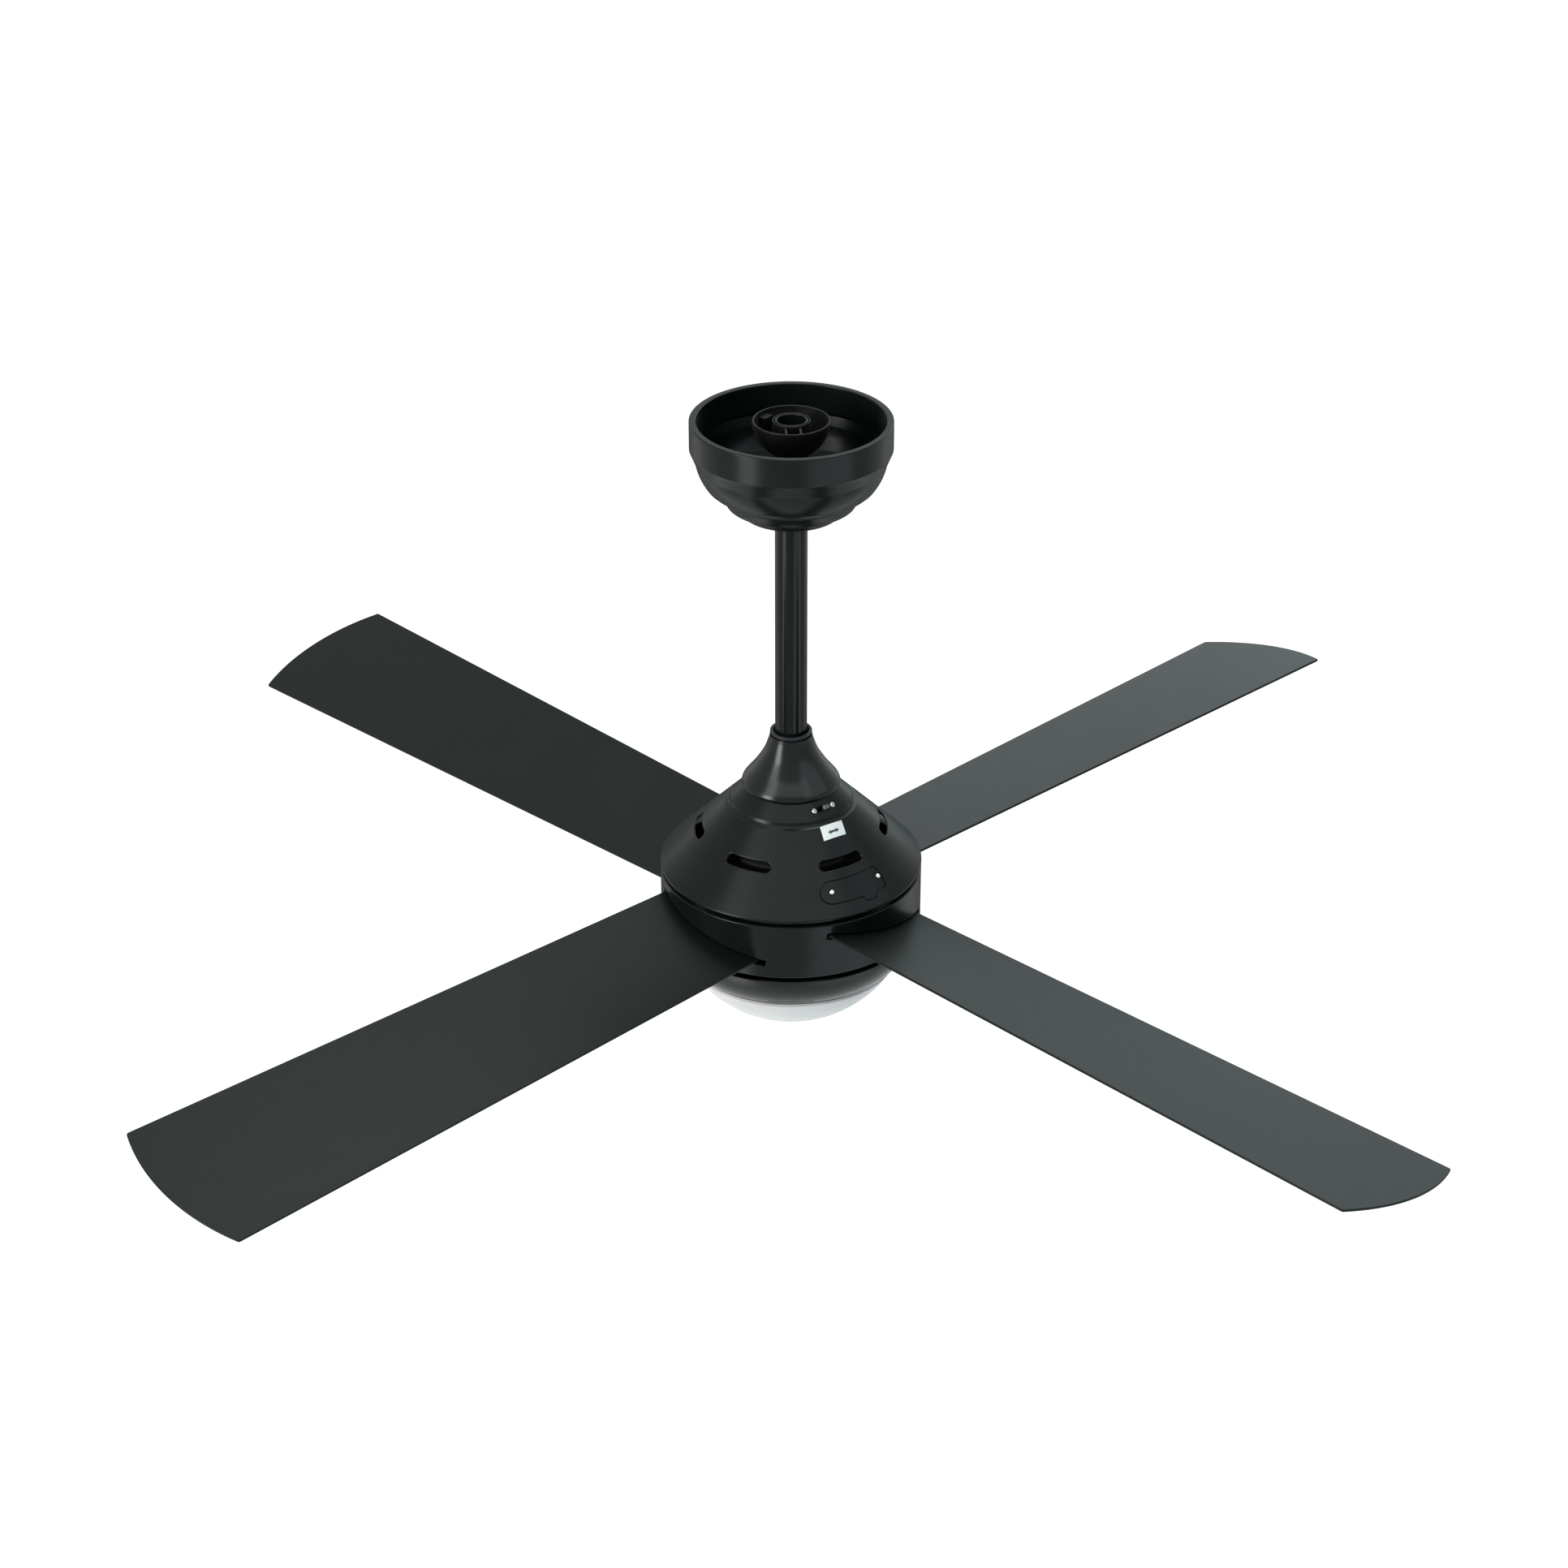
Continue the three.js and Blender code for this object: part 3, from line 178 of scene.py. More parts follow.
RING_TOP = high("light_ring").z
DOME_FOOT = low("diffuser").z
DOME_R = 98.4
DOME_CENTRE = DOME_FOOT + DOME_R
DOME_WALL = 2
NECK_R = 82.6
LUG_COUNT = 3
LIGHT_SCREW_R = 38
MOTOR_SCREW_R = 65.2

# ---------------------------------------------------------------- outlines


def polar(radius, azimuth, z=0):
    return (radius * cos(azimuth), radius * sin(azimuth), z)


def between(a, b, t):
    return a + (b - a) * t


def arc(centre, radius, start, end, steps, radius_2=None):
    """Points of an arc or ellipse in a plane, from one angle to another."""
    tall = radius_2 or radius
    angles = [between(start, end, k / steps) for k in range(steps + 1)]
    return [(centre[0] + radius * cos(a), centre[1] + tall * sin(a)) for a in angles]


def curve(knots):
    """A Catmull-Rom curve through the knots."""
    steps = 6
    points = [Vector(knot) for knot in knots]
    ends = [points[0] * 2 - points[1], *points, points[-1] * 2 - points[-2]]
    line = []
    for a, b, c, d in zip(ends, ends[1:], ends[2:], ends[3:]):
        for k in range(steps):
            t = k / steps
            point = b * 2 + (c - a) * t + (a * 2 - b * 5 + c * 4 - d) * t ** 2
            point += (b * 3 - a - c * 3 + d) * t ** 3
            line.append(tuple(point / 2))
    return [*line, tuple(points[-1])]


CORNER_ROOM = 0.48                     # share of a side that one rounded corner may take
SHARPEST = 0.5                         # keeps the tip of a sharp corner from running away inward


def rounded(corners, steps=4):
    """Round a closed outline: a corner's third number is its radius, cut down where it can't fit."""
    outline = []
    for i, corner in enumerate(corners):
        here = Vector(corner[:2])
        if len(corner) < 3:
            outline.append(tuple(here))
            continue
        before = Vector(corners[i - 1][:2]) - here
        after = Vector(corners[(i + 1) % len(corners)][:2]) - here
        half = before.angle(after) / 2
        room = CORNER_ROOM * min(before.length, after.length)
        reach = min(corner[2] / tan(half), room)
        radius = reach * tan(half)
        inward = (before.normalized() + after.normalized()).normalized()
        centre = here + inward * radius / sin(half)
        first = here + before.normalized() * reach - centre
        last = here + after.normalized() * reach - centre
        start = atan2(first.y, first.x)
        turn = (atan2(last.y, last.x) - start + pi) % (2 * pi) - pi
        outline += arc(centre, radius, start, start + turn, steps)
    return outline


def inset(outline, distance):
    """Move a counterclockwise outline inward by a distance."""
    moved = []
    for i, point in enumerate(outline):
        here = Vector(point)
        before = (here - Vector(outline[i - 1])).normalized()
        after = (Vector(outline[(i + 1) % len(outline)]) - here).normalized()
        inward = Vector((-before.y - after.y, before.x + after.x)).normalized()
        stretch = max(inward.dot(Vector((-before.y, before.x))), SHARPEST)
        moved.append(tuple(here + inward * distance / stretch))
    return moved


# ---------------------------------------------------------------- meshes

FINE = 192                             # steps round a large visible revolve
MEDIUM = 96
COARSE = 32
SCREW_STEPS = 40
ON_AXIS = 1e-6
WELD = 1e-7                            # in metres
SHARP_ANGLE = 35                       # edges bent by more than this stay sharp
CORNERS = ((-1, -1), (1, -1), (1, 1), (-1, 1))


def turn_outward(mesh, weld=0):
    """Join points that lie together, where asked, and turn every face outward."""
    shape = bmesh.new()
    shape.from_mesh(mesh)
    if weld:
        bmesh.ops.remove_doubles(shape, verts=shape.verts, dist=weld)
    bmesh.ops.recalc_face_normals(shape, faces=shape.faces)
    shape.to_mesh(mesh)
    shape.free()


def mesh_piece(name, points, faces):
    """A piece from points in millimetres, with its faces turned outward."""
    mesh = bpy.data.meshes.new(name)
    mesh.from_pydata([Vector(point) * MM for point in points], [], faces)
    turn_outward(mesh)
    piece = bpy.data.objects.new(name, mesh)
    bpy.context.scene.collection.objects.link(piece)
    return piece


def revolve(name, profile, segments):
    """Turn (radius, height) points round Z. A profile that misses the axis closes on itself."""
    points, rings, faces = [], [], []
    for radius, height in profile:
        count = segments if radius > ON_AXIS else 1
        rings.append([len(points) + k for k in range(count)])
        points += [polar(radius, 2 * pi * k / segments, height) for k in range(count)]
    on_axis = profile[0][0] <= ON_AXIS and profile[-1][0] <= ON_AXIS
    for one, two in zip(rings, rings[1:] + ([] if on_axis else rings[:1])):
        for k in range(segments):
            n = (k + 1) % segments
            corners = [one[k % len(one)], one[n % len(one)], two[n % len(two)], two[k % len(two)]]
            corners = tuple(dict.fromkeys(corners))
            if len(corners) > 2:
                faces.append(corners)
    return mesh_piece(name, points, faces)


def walls(count, levels):
    """Faces between levels that are closed loops of count points."""
    faces = []
    for base in range(0, (levels - 1) * count, count):
        for k in range(count):
            n = (k + 1) % count
            faces.append((base + k, base + n, base + count + n, base + count + k))
    return faces


def loft(name, outlines):
    """Walls between closed outlines of equal length, and a face at each end."""
    count = len(outlines[0])
    points = [point for outline in outlines for point in outline]
    ends = [tuple(range(count)), tuple(range(len(points) - count, len(points)))]
    return mesh_piece(name, points, ends + walls(count, len(outlines)))


def prism(name, outline, bottom, top):
    return loft(name, [[(x, y, z) for x, y in outline] for z in (bottom, top)])


def rod(name, radius, bottom, top):
    return revolve(name, [(0, bottom), (radius, bottom), (radius, top), (0, top)], COARSE)


def block(name, size, centre):
    x, y, z = (value / 2 for value in size)
    outline = [(centre[0] + a * x, centre[1] + b * y) for a, b in CORNERS]
    return prism(name, outline, centre[2] - z, centre[2] + z)


def place(piece, matrix):
    """Move a piece's mesh, so that its object stays at the origin. The matrix is in millimetres."""
    in_metres = matrix.copy()
    in_metres.translation = matrix.translation * MM
    piece.data.transform(in_metres)
    return piece


def drill(radius, bottom, top, spots):
    """Cutters for upright holes."""
    return [place(rod("hole", radius, bottom, top), Matrix.Translation(spot)) for spot in spots]


def bake(piece):
    """Apply a piece's modifiers."""
    shape = piece.evaluated_get(bpy.context.evaluated_depsgraph_get())
    plain = piece.data
    piece.data = bpy.data.meshes.new_from_object(shape)
    piece.modifiers.clear()
    bpy.data.meshes.remove(plain)


def combine(piece, others, operation="DIFFERENCE"):
    """Cut other pieces from a piece, join them to it or keep what they share, and drop them."""
    for other in others:
        cut = piece.modifiers.new("cut", "BOOLEAN")
        cut.operation = operation
        cut.solver = "EXACT"
        cut.object = other
    bake(piece)
    for other in others:
        bpy.data.objects.remove(other)
    return piece


def smooth(piece):
    """Shade a mesh smooth between its sharp edges, with its large faces kept true."""
    piece.data.shade_smooth()
    piece.data.set_sharp_from_angle(angle=radians(SHARP_ANGLE))
    weighted = piece.modifiers.new("flat faces stay flat", "WEIGHTED_NORMAL")
    weighted.keep_sharp = True
    weighted.weight = 100


def dress(piece, body, slot, surface, *nodes):
    """Finish a made piece: its shading, body, material and the CAD nodes that it stands for. Its slot
    argument is not used.
    """
    smooth(piece)
    piece.data.materials.clear()
    piece.data.materials.append(surface)
    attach(piece, body)
    if nodes:
        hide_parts(*nodes)


# ---------------------------------------------------------------- material tools

WHITE = (1, 1, 1, 1)
EVEN = (1, 1, 1)
ROUND_Z = (1, 1, 30)                   # squeezes noise into lines that run round the axis
STRAIGHT_Z = (30, 30, 1)
NOISE_LOW, NOISE_HIGH = 0.3, 0.7       # most of a noise texture lies between these
PAINT_GRAIN = 900                      # noise scales are in waves per metre
GLOSS_FINER = 5                        # gloss drifts in this many times shorter waves than tone
METAL_TONES = 60
SATIN_EDGE = (0.57, 0.95)              # from this much turned away, a satin coat loses its gloss
SATIN_LOSS = 0.6


class Nodes:
    """Short names for the shader nodes that the materials share."""

    def __init__(self, tree):
        self.tree = tree

    def add(self, kind, **sockets):
        node = self.tree.nodes.new(kind)
        for name, value in sockets.items():
            self.put(node.inputs[name.replace("_", " ")], value)
        return node

    def put(self, socket, value):
        if isinstance(value, bpy.types.NodeSocket):
            self.tree.links.new(value, socket)
        else:
            socket.default_value = value

    def place(self, stretch):
        coordinates = self.add("ShaderNodeTexCoord")
        mapping = self.add("ShaderNodeMapping", Vector=coordinates.outputs["Object"], Scale=stretch)
        return mapping.outputs["Vector"]

    def noise(self, per_metre, detail=3, stretch=EVEN):
        noise = self.add("ShaderNodeTexNoise", Vector=self.place(stretch), Scale=per_metre, Detail=detail)
        return noise.outputs["Fac"]

    def spread(self, value, lowest, highest, start=NOISE_LOW, end=NOISE_HIGH):
        """Stretch a value between start and end over a range."""
        node = self.add("ShaderNodeMapRange", Value=value)
        node.inputs["From Min"].default_value = start
        node.inputs["From Max"].default_value = end
        node.inputs["To Min"].default_value = lowest
        node.inputs["To Max"].default_value = highest
        return node.outputs["Result"]

    def tones(self, value, dark, light):
        ramp = self.add("ShaderNodeValToRGB", Fac=value)
        for end, position, colour in zip(ramp.color_ramp.elements, (NOISE_LOW, NOISE_HIGH), (dark, light)):
            end.position = position
            end.color = (*colour, 1)
        return ramp.outputs["Color"]

    def maths(self, operation, one, two):
        node = self.add("ShaderNodeMath")
        node.operation = operation
        self.put(node.inputs[0], one)
        self.put(node.inputs[1], two)
        return node.outputs[0]

    def relief(self, height, depth):
        """A bump of a depth in millimetres."""
        bump = self.add("ShaderNodeBump", Height=height, Distance=depth * MM, Strength=1.0)
        return bump.outputs["Normal"]


def material(name, build, **sockets):
    """A Principled material: its fixed numbers here, and what varies from build(nodes, shader)."""
    made = bpy.data.materials.new(name)
    made.use_nodes = True
    nodes = Nodes(made.node_tree)
    shader = made.node_tree.nodes["Principled BSDF"]
    for socket, value in sockets.items():
        shader.inputs[socket.replace("_", " ")].default_value = value
    build(nodes, shader)
    return made


def moulded(dark, light, rough, grain, depth, tone_scale=40, satin=False):
    """Paint or plastic: a slow drift of tone, a finer drift of gloss and a fine relief.

    A satin coat also loses its gloss at grazing angles.
    """
    def build(nodes, shader):
        drift = nodes.noise(tone_scale)
        nodes.put(shader.inputs["Base Color"], nodes.tones(drift, dark, light))
        gloss = nodes.spread(nodes.noise(tone_scale * GLOSS_FINER), *rough)
        if satin:
            facing = nodes.add("ShaderNodeLayerWeight", Blend=0.5).outputs["Facing"]
            gloss = nodes.maths("ADD", gloss, nodes.spread(facing, 0, SATIN_LOSS, *SATIN_EDGE))
        nodes.put(shader.inputs["Roughness"], gloss)
        nodes.put(shader.inputs["Normal"], nodes.relief(nodes.noise(grain, 2), depth))
    return build


def worked(dark, light, rough, scratches, depth, stretch=EVEN):
    """Bare metal: fine scratches drawn out along one direction."""
    def build(nodes, shader):
        lines = nodes.noise(scratches, 4, stretch)
        nodes.put(shader.inputs["Base Color"], nodes.tones(nodes.noise(METAL_TONES), dark, light))
        nodes.put(shader.inputs["Roughness"], nodes.spread(lines, *rough))
        nodes.put(shader.inputs["Normal"], nodes.relief(lines, depth))
    return build


BLACK = ((0.0032, 0.0048, 0.0045), (0.0045, 0.0064, 0.0060))


def black_paint(name, rough, ior, depth=0.0015, satin=True):
    """The black powder coat, whose gloss differs from piece to piece."""
    return material(name, moulded(*BLACK, rough, PAINT_GRAIN, depth, satin=satin), IOR=ior)


PAINT = black_paint("satin black paint", (0.24, 0.27), 1.205)
GLOSS_PAINT = black_paint("glossier black paint", (0.2, 0.24), 1.28)
TUBE_PAINT = black_paint("downrod's black paint", (0.15, 0.19), 1.205)
RING_PAINT = black_paint("light ring's black paint", (0.3, 0.32), 1.26, depth=0.0004, satin=False)
BLADE_PAINT = material("satin black blade paint", moulded(
    (0.0035, 0.0053, 0.0051), (0.0043, 0.0064, 0.0061), (0.37, 0.385), 1200, 0.001, 12), IOR=1.187)
BLACK_NYLON = material("black nylon", moulded(
    (0.0029, 0.0029, 0.0032), (0.0045, 0.0045, 0.0048), (0.4, 0.5), 1500, 0.004, satin=True), IOR=1.235)
COLLAR_RUBBER = material("grey rubber", moulded(
    (0.010, 0.0096, 0.0115), (0.014, 0.013, 0.016), (0.42, 0.52), 1500, 0.004, satin=True), IOR=1.294)
GREY_PLASTIC = material("grey plastic", moulded(
    (0.045, 0.042, 0.050), (0.062, 0.058, 0.068), (0.35, 0.45), 2600, 0.006))
WHITE_PLASTIC = material("white plastic", moulded(
    (0.68, 0.68, 0.67), (0.74, 0.74, 0.73), (0.4, 0.5), 2600, 0.008))
LED_BOARD = material("white solder mask", moulded(
    (0.74, 0.74, 0.72), (0.80, 0.80, 0.78), (0.3, 0.4), 1500, 0.004))
# painted shade: the bowl's white is set darker than the opal's own, because the low lamps light it more
# than the rest of the fan
OPAL = material("opal bowl", moulded(
    (0.56, 0.55, 0.55), (0.60, 0.59, 0.59), (0.5, 0.56), 500, 0.004), IOR=1.4,
    Subsurface_Weight=0.25, Subsurface_Scale=0.004)
PAPER = material("label paper", moulded(
    (0.84, 0.84, 0.84), (0.88, 0.88, 0.88), (0.5, 0.6), 4000, 0.01))
INK = material("label ink", moulded(
    (0.008, 0.008, 0.008), (0.012, 0.012, 0.012), (0.5, 0.6), 3000, 0.004))
NICKEL = material("nickel plate", worked(
    (0.76, 0.73, 0.67), (0.86, 0.83, 0.77), (0.22, 0.34), 2500, 0.004), Metallic=1.0)
# painted shade: a rougher copy of the nickel plate with its colour lowered, standing in for darker
# reflections on the switch's screws
SHADE_DARKENED_NICKEL = material("nickel plate darkened as painted shade", worked(
    (0.34, 0.32, 0.28), (0.46, 0.44, 0.40), (0.3, 0.42), 2500, 0.004), Metallic=1.0)
ZINC = material("zinc plated steel", worked(
    (0.46, 0.47, 0.48), (0.58, 0.59, 0.60), (0.28, 0.42), 900, 0.006, ROUND_Z), Metallic=1.0)
ALUMINIUM = material("cast aluminium", worked(
    (0.32, 0.32, 0.33), (0.42, 0.42, 0.43), (0.34, 0.5), 1500, 0.015), Metallic=1.0)
# painted shade: the casting is set near black, so that the vents show dark inside, as the shade in the
# housing
SHADE_PAINTED_CASTING = material("casting darkened as painted shade", worked(
    (0.008, 0.0078, 0.0082), (0.014, 0.0135, 0.0145), (0.5, 0.65), 700, 0.02, STRAIGHT_Z), Metallic=1.0)
LAMINATION = material("electrical steel", worked(
    (0.10, 0.10, 0.105), (0.16, 0.16, 0.165), (0.35, 0.5), 1200, 0.03, ROUND_Z), Metallic=1.0)
COPPER = material("enamelled copper", worked(
    (0.38, 0.13, 0.05), (0.50, 0.20, 0.08), (0.25, 0.4), 900, 0.08, STRAIGHT_Z), Metallic=1.0)

# ---------------------------------------------------------------- canopy, ball and rod


def cross_hole(radius, z, azimuth, half_length):
    hole = rod("hole", radius, -half_length, half_length)
    turn = Matrix.Rotation(azimuth, 4, "Z") @ Matrix.Rotation(pi / 2, 4, "Y")
    return place(hole, Matrix.Translation((0, 0, z)) @ turn)


def canopy():
    """A thick rim over a bowl and two smaller tiers, pressed from one sheet."""
    bowl = (29.4, -24.65)
    outside = [
        (CANOPY_R, 0, 0.9), (CANOPY_R, -22.2, 1.4), (75.5, -24.5, 1.6), (72.3, -32.5, 5),
        *arc(bowl, 43.6, radians(-13), radians(-37), 14), (61.3, -53.5, 6), (54, -58, 2.4),
        (50.6, -63.2, 1.8), (49, -66.6, 2.4), (40.5, -70, 1.6), (37.4, -74.6, 3), (30, -78, 5),
        (15.6, CANOPY_FOOT, 0.6),
    ]
    inside = [
        (15.6, -78, 0.4), (29.6, -76.6, 5), (36.1, -73.6, 2.4), (39.4, -68.8, 1.6), (47.8, -65.3, 2),
        (52.6, -57, 3), (60.2, -52.5, 5), *arc(bowl, 42.2, radians(-37), radians(-13), 12),
        (70.9, -32.3, 5), (73.6, -24.4, 0.8), (71.2, -21.8, 0.8), (71.2, 0, 0.9),
    ]
    piece = revolve("canopy_shell", rounded(outside + inside), FINE)
    dress(piece, "canopy", "black_paint", PAINT, "canopy")


def hanger_ball():
    """An open cup with a socket for the rod, ribs that cage the pin, and a keyway."""
    shell_r = BALL_R - BALL_WALL
    sleeve_r = ROD_R + GAP
    outer = arc((0, 0), BALL_R, -acos(sleeve_r / BALL_R), -0.05, 28)
    inner = arc((0, 0), shell_r, -0.05, -acos(BOSS_R / shell_r), 24)
    cup = revolve("hanger_ball_cup", rounded([
        *outer, (BALL_R, 0, 0.8), (shell_r, 0, 0.6), *inner, (BOSS_R, 0, 0.35),
        (BOSS_R - 0.7, 0, 0.3), (sleeve_r, -1.6, 0.3),
    ]), MEDIUM)
    bite = 0.7                         # the ribs and the key pad reach this far into the walls
    gap_r, post_r = shell_r + bite, sleeve_r + bite
    hollow = revolve("hollow", [
        (post_r, -0.9), *arc((0, 0), gap_r, -0.035, -acos(post_r / gap_r), 20),
    ], MEDIUM)

    def upright(name, along, across, top, azimuth):
        outline = [(along[a], across[b]) for a, b in ((0, 0), (1, 0), (1, 1), (0, 1))]
        turn = Matrix.Rotation(azimuth, 4, "Z")
        return place(prism(name, outline, -BALL_R - 1, top), turn)

    cage = [upright("key pad", (21.5, BALL_R), (-4.5, 4.5), -3.5, KEY_AZ)]
    for side in (-5.4, 5.4):
        across = (side - 0.65, side + 0.65)
        cage.append(upright("rib", (0, BALL_R), across, 0, BALL_PIN_AZ))
        cage.append(upright("low rib", (-BALL_R, 0), across, -8, BALL_PIN_AZ))
    combine(hollow, [combine(cage[0], cage[1:], "UNION")], "INTERSECT")
    combine(cup, [hollow], "UNION")
    key_slot = upright("key slot", (24.5, BALL_R + 3), (-2.5, 2.5), -5.2, KEY_AZ)
    combine(cup, [key_slot, cross_hole(PIN_R + GAP, BALL_PIN_Z, BALL_PIN_AZ, BOSS_R + 1)])
    dress(cup, "root", "black_nylon", BLACK_NYLON, "hanger_ball")


def downrod():
    inner = ROD_R - ROD_WALL
    pipe = revolve("downrod_tube", rounded([
        (inner, ROD_BOTTOM, 0.3), (ROD_R, ROD_BOTTOM, 0.5), (ROD_R, 0, 0.8), (inner, 0, 0.7),
    ]), MEDIUM)
    combine(pipe, [cross_hole(PIN_R + GAP, BALL_PIN_Z, BALL_PIN_AZ, ROD_R + 2),
                   cross_hole(PIN_R + GAP, CLEVIS_PIN_Z, 0, ROD_R + 2)])
    dress(pipe, "root", "black_paint", TUBE_PAINT, "downrod")


# ---------------------------------------------------------------- trumpet, collar and coupling


def trumpet():
    """A spun flare with a rolled lip at its foot."""
    flare = curve([(16.6, -262.9), (17.9, -267.8), (21.7, -277.8), (29, -289.6), (34.6, -296.7),
                   (37.6, -300.6), (38.7, -303.1)])
    wall = 1.2
    inside = []
    for before, after in zip(flare, flare[1:]):
        along = (Vector(after) - Vector(before)).normalized()
        middle = (Vector(after) + Vector(before)) / 2
        inside.append((middle.x + along.y * wall, middle.y - along.x * wall))
    lip = arc((37.5, -303.5), 1.25, radians(10), radians(-160), 8)
    profile = [(flare[0][0] - wall, flare[0][1] + 0.1), *flare, *lip, *reversed(inside)]
    piece = revolve("trumpet", profile, FINE)
    dress(piece, "trumpet", "black_paint", GLOSS_PAINT, "yoke_cover")


def neck_collar():
    piece = revolve("neck_seal", rounded([
        (13.4, -268, 0.3), (15, -268, 0.3), (15, -261.2), (16.5, -261.2, 0.5), (16.5, -259.7, 0.7),
        (16, -259.2, 0.5), (14.2, -259.2, 0.5), (13.4, -262, 0.4),
    ]), MEDIUM)
    dress(piece, "trumpet", "grey_rubber", COLLAR_RUBBER, "neck_collar")


def coupling():
    """A turned steel sleeve on a flange, drilled for its pins and screws."""
    shaft_r = SHAFT_R + GAP
    sleeve_r = ROD_R + GAP
    flange_top, top = -299.2, high("rod_coupling").z
    foot = low("rod_coupling").z
    body = revolve("coupling", rounded([
        (shaft_r, foot, 0.3), (28, foot, 0.5), (28, flange_top, 0.6), (18, flange_top, 1),
        (16, flange_top + 3, 2), (16, top, 0.7), (sleeve_r, top, 0.4), (sleeve_r, ROD_BOTTOM - GAP, 0.2),
        (shaft_r, ROD_BOTTOM - 1, 0.4),
    ]), MEDIUM)
    spots = [polar(MOUNT_SCREW_R, azimuth) for azimuth in THIRDS]
    combine(body, [*drill(MOUNT_HOLE_R, foot - 1, flange_top + 1, spots),
                   cross_hole(PIN_R + GAP, CLEVIS_PIN_Z, 0, 18),
                   cross_hole(PIN_R - 0.2, SET_SCREW_Z, pi / 2, 18)])
    dress(body, "root", "zinc_steel", ZINC, "rod_coupling")


# ---------------------------------------------------------------- the cone and what lies on it


def on_cone(azimuth, radius, out=0):
    """A point at a plan radius on the cone, moved straight out of it."""
    step = out / ROOT2
    return polar(radius + step, azimuth, CONE_APEX - radius + step)


def cone_frame(azimuth, radius):
    """X round the cone counterclockwise, Y up the slope, Z straight out."""
    out = Vector(polar(1, azimuth, 1)).normalized()
    around = Vector((-sin(azimuth), cos(azimuth), 0))
    up = out.cross(around)
    matrix = Matrix((around, up, out)).transposed().to_4x4()
    matrix.translation = Vector(on_cone(azimuth, radius))
    return matrix


def unrolled(azimuth, radius, x, y):
    """Azimuth and plan radius of the place x round and y up from a centre, with the cone laid flat."""
    slant = radius * ROOT2
    reach = Vector((slant - y, x)).length
    return azimuth + atan2(x, slant - y) * ROOT2, reach / ROOT2


def cone_block(name, rungs, levels):
    """A solid that follows the cone.

    rungs(grow) gives pairs of (azimuth, radius), one at each side of the outline, from one end of
    it to the other. levels are (height out of the cone, grow), from one face to the other.
    """
    points, count = [], len(rungs(0))
    for out, grow in levels:
        sides = rungs(grow)
        points += [on_cone(*upper, out) for upper, _ in sides]
        points += [on_cone(*lower, out) for _, lower in reversed(sides)]
    loop = 2 * count
    faces = walls(loop, len(levels))
    for base in (0, (len(levels) - 1) * loop):
        for k in range(count - 1):
            faces.append((base + k, base + k + 1, base + loop - 2 - k, base + loop - 1 - k))
    piece = mesh_piece(name, points, faces)
    turn_outward(piece.data, WELD)
    return piece


END_STEPS = 8                          # from a slot's side to the tip of its end
RIM_TURNS = [pi / 2 * k / 5 for k in range(6)]
CUT_OVER, CUT_UNDER = 1, 6             # reach of a cutter out of the cone and into it


def bent_slot(azimuth, half_span, band, ends, bulge=lambda at: 0, steps=24):
    """Rungs of a slot that runs round the cone between two radii.

    Its straight part spans half_span to each side. Past that, each end is half an ellipse.
    """
    middle = (band[0] + band[1]) / 2
    half = (band[1] - band[0]) / 2

    def rungs(grow):
        made = []
        stations = [(-1, pi / 2 * (1 - k / END_STEPS)) for k in range(END_STEPS)]
        stations += [(2 * k / steps - 1, 0) for k in range(steps + 1)]
        stations += [(1, pi / 2 * (k + 1) / END_STEPS) for k in range(END_STEPS)]
        for along, turn in stations:
            side = 1 if along > 0 else -1
            reach = (ends[side > 0] + grow) * sin(turn)
            at = azimuth + along * half_span + side * reach / middle
            tall = (half + grow / ROOT2) * cos(turn)
            made.append(((at, middle - tall), (at, middle + tall + bulge(at))))
        return made
    return rungs


def flat_patch(azimuth, radius, half, corner, turn=0, lean=0):
    """Rungs of a patch with round corners, wrapped on the cone, turned and leaning a little."""
    def at(x, y):
        x += lean * y
        return unrolled(azimuth, radius, x * cos(turn) - y * sin(turn), x * sin(turn) + y * cos(turn))

    def rungs(grow):
        wide, tall = half[0] + grow, half[1] + grow
        bend, steps = corner + grow, 12
        stations = [(-wide + bend * (1 - cos(a)), tall - bend * (1 - sin(a))) for a in RIM_TURNS]
        middle = [(between(-wide + bend, wide - bend, k / steps), tall) for k in range(1, steps)]
        stations += middle + [(-x, y) for x, y in reversed(stations)]
        return [(at(x, y), at(x, -y)) for x, y in stations]
    return rungs


def through(radius, undercut=0):
    """Levels of a cutter that leaves its hole with a rounded rim, and thins the wall behind it."""
    rim = [(-radius * (1 - cos(a)), radius * (1 - sin(a))) for a in RIM_TURNS]
    return [(CUT_OVER, radius), *rim, (-radius - 0.1, undercut), (-CUT_UNDER, undercut)]


def sheet(thick, edge, lift=0):
    """Levels of a thin plate with rounded upper edges, its face at a height over the cone."""
    rim = [(lift - edge * (1 - cos(a)), -edge * (1 - cos(pi / 2 - a)))
           for a in (pi / 2 * k / 3 for k in range(4))]
    return [*rim, (lift - thick, 0)]


def hatch_bulge(at):
    """How far the access plate's outer edge swells at an azimuth."""
    flank = 0.55                       # share of the half width that rises; the rest is level
    rise = min(max((1 - abs(at - HATCH_BULGE_AZ) / HATCH_BULGE_HALF) / flank, 0), 1)
    return HATCH_BULGE_RISE * rise ** 2 * (3 - 2 * rise)


def hatch(grow=0):
    """Rungs of the access plate's outline, grown by a distance all round."""
    outline = bent_slot(HATCH_AZ, HATCH_HALF_SPAN, (HATCH_IN, HATCH_OUT), HATCH_ENDS, hatch_bulge, 80)
    return lambda more: outline(grow + more)


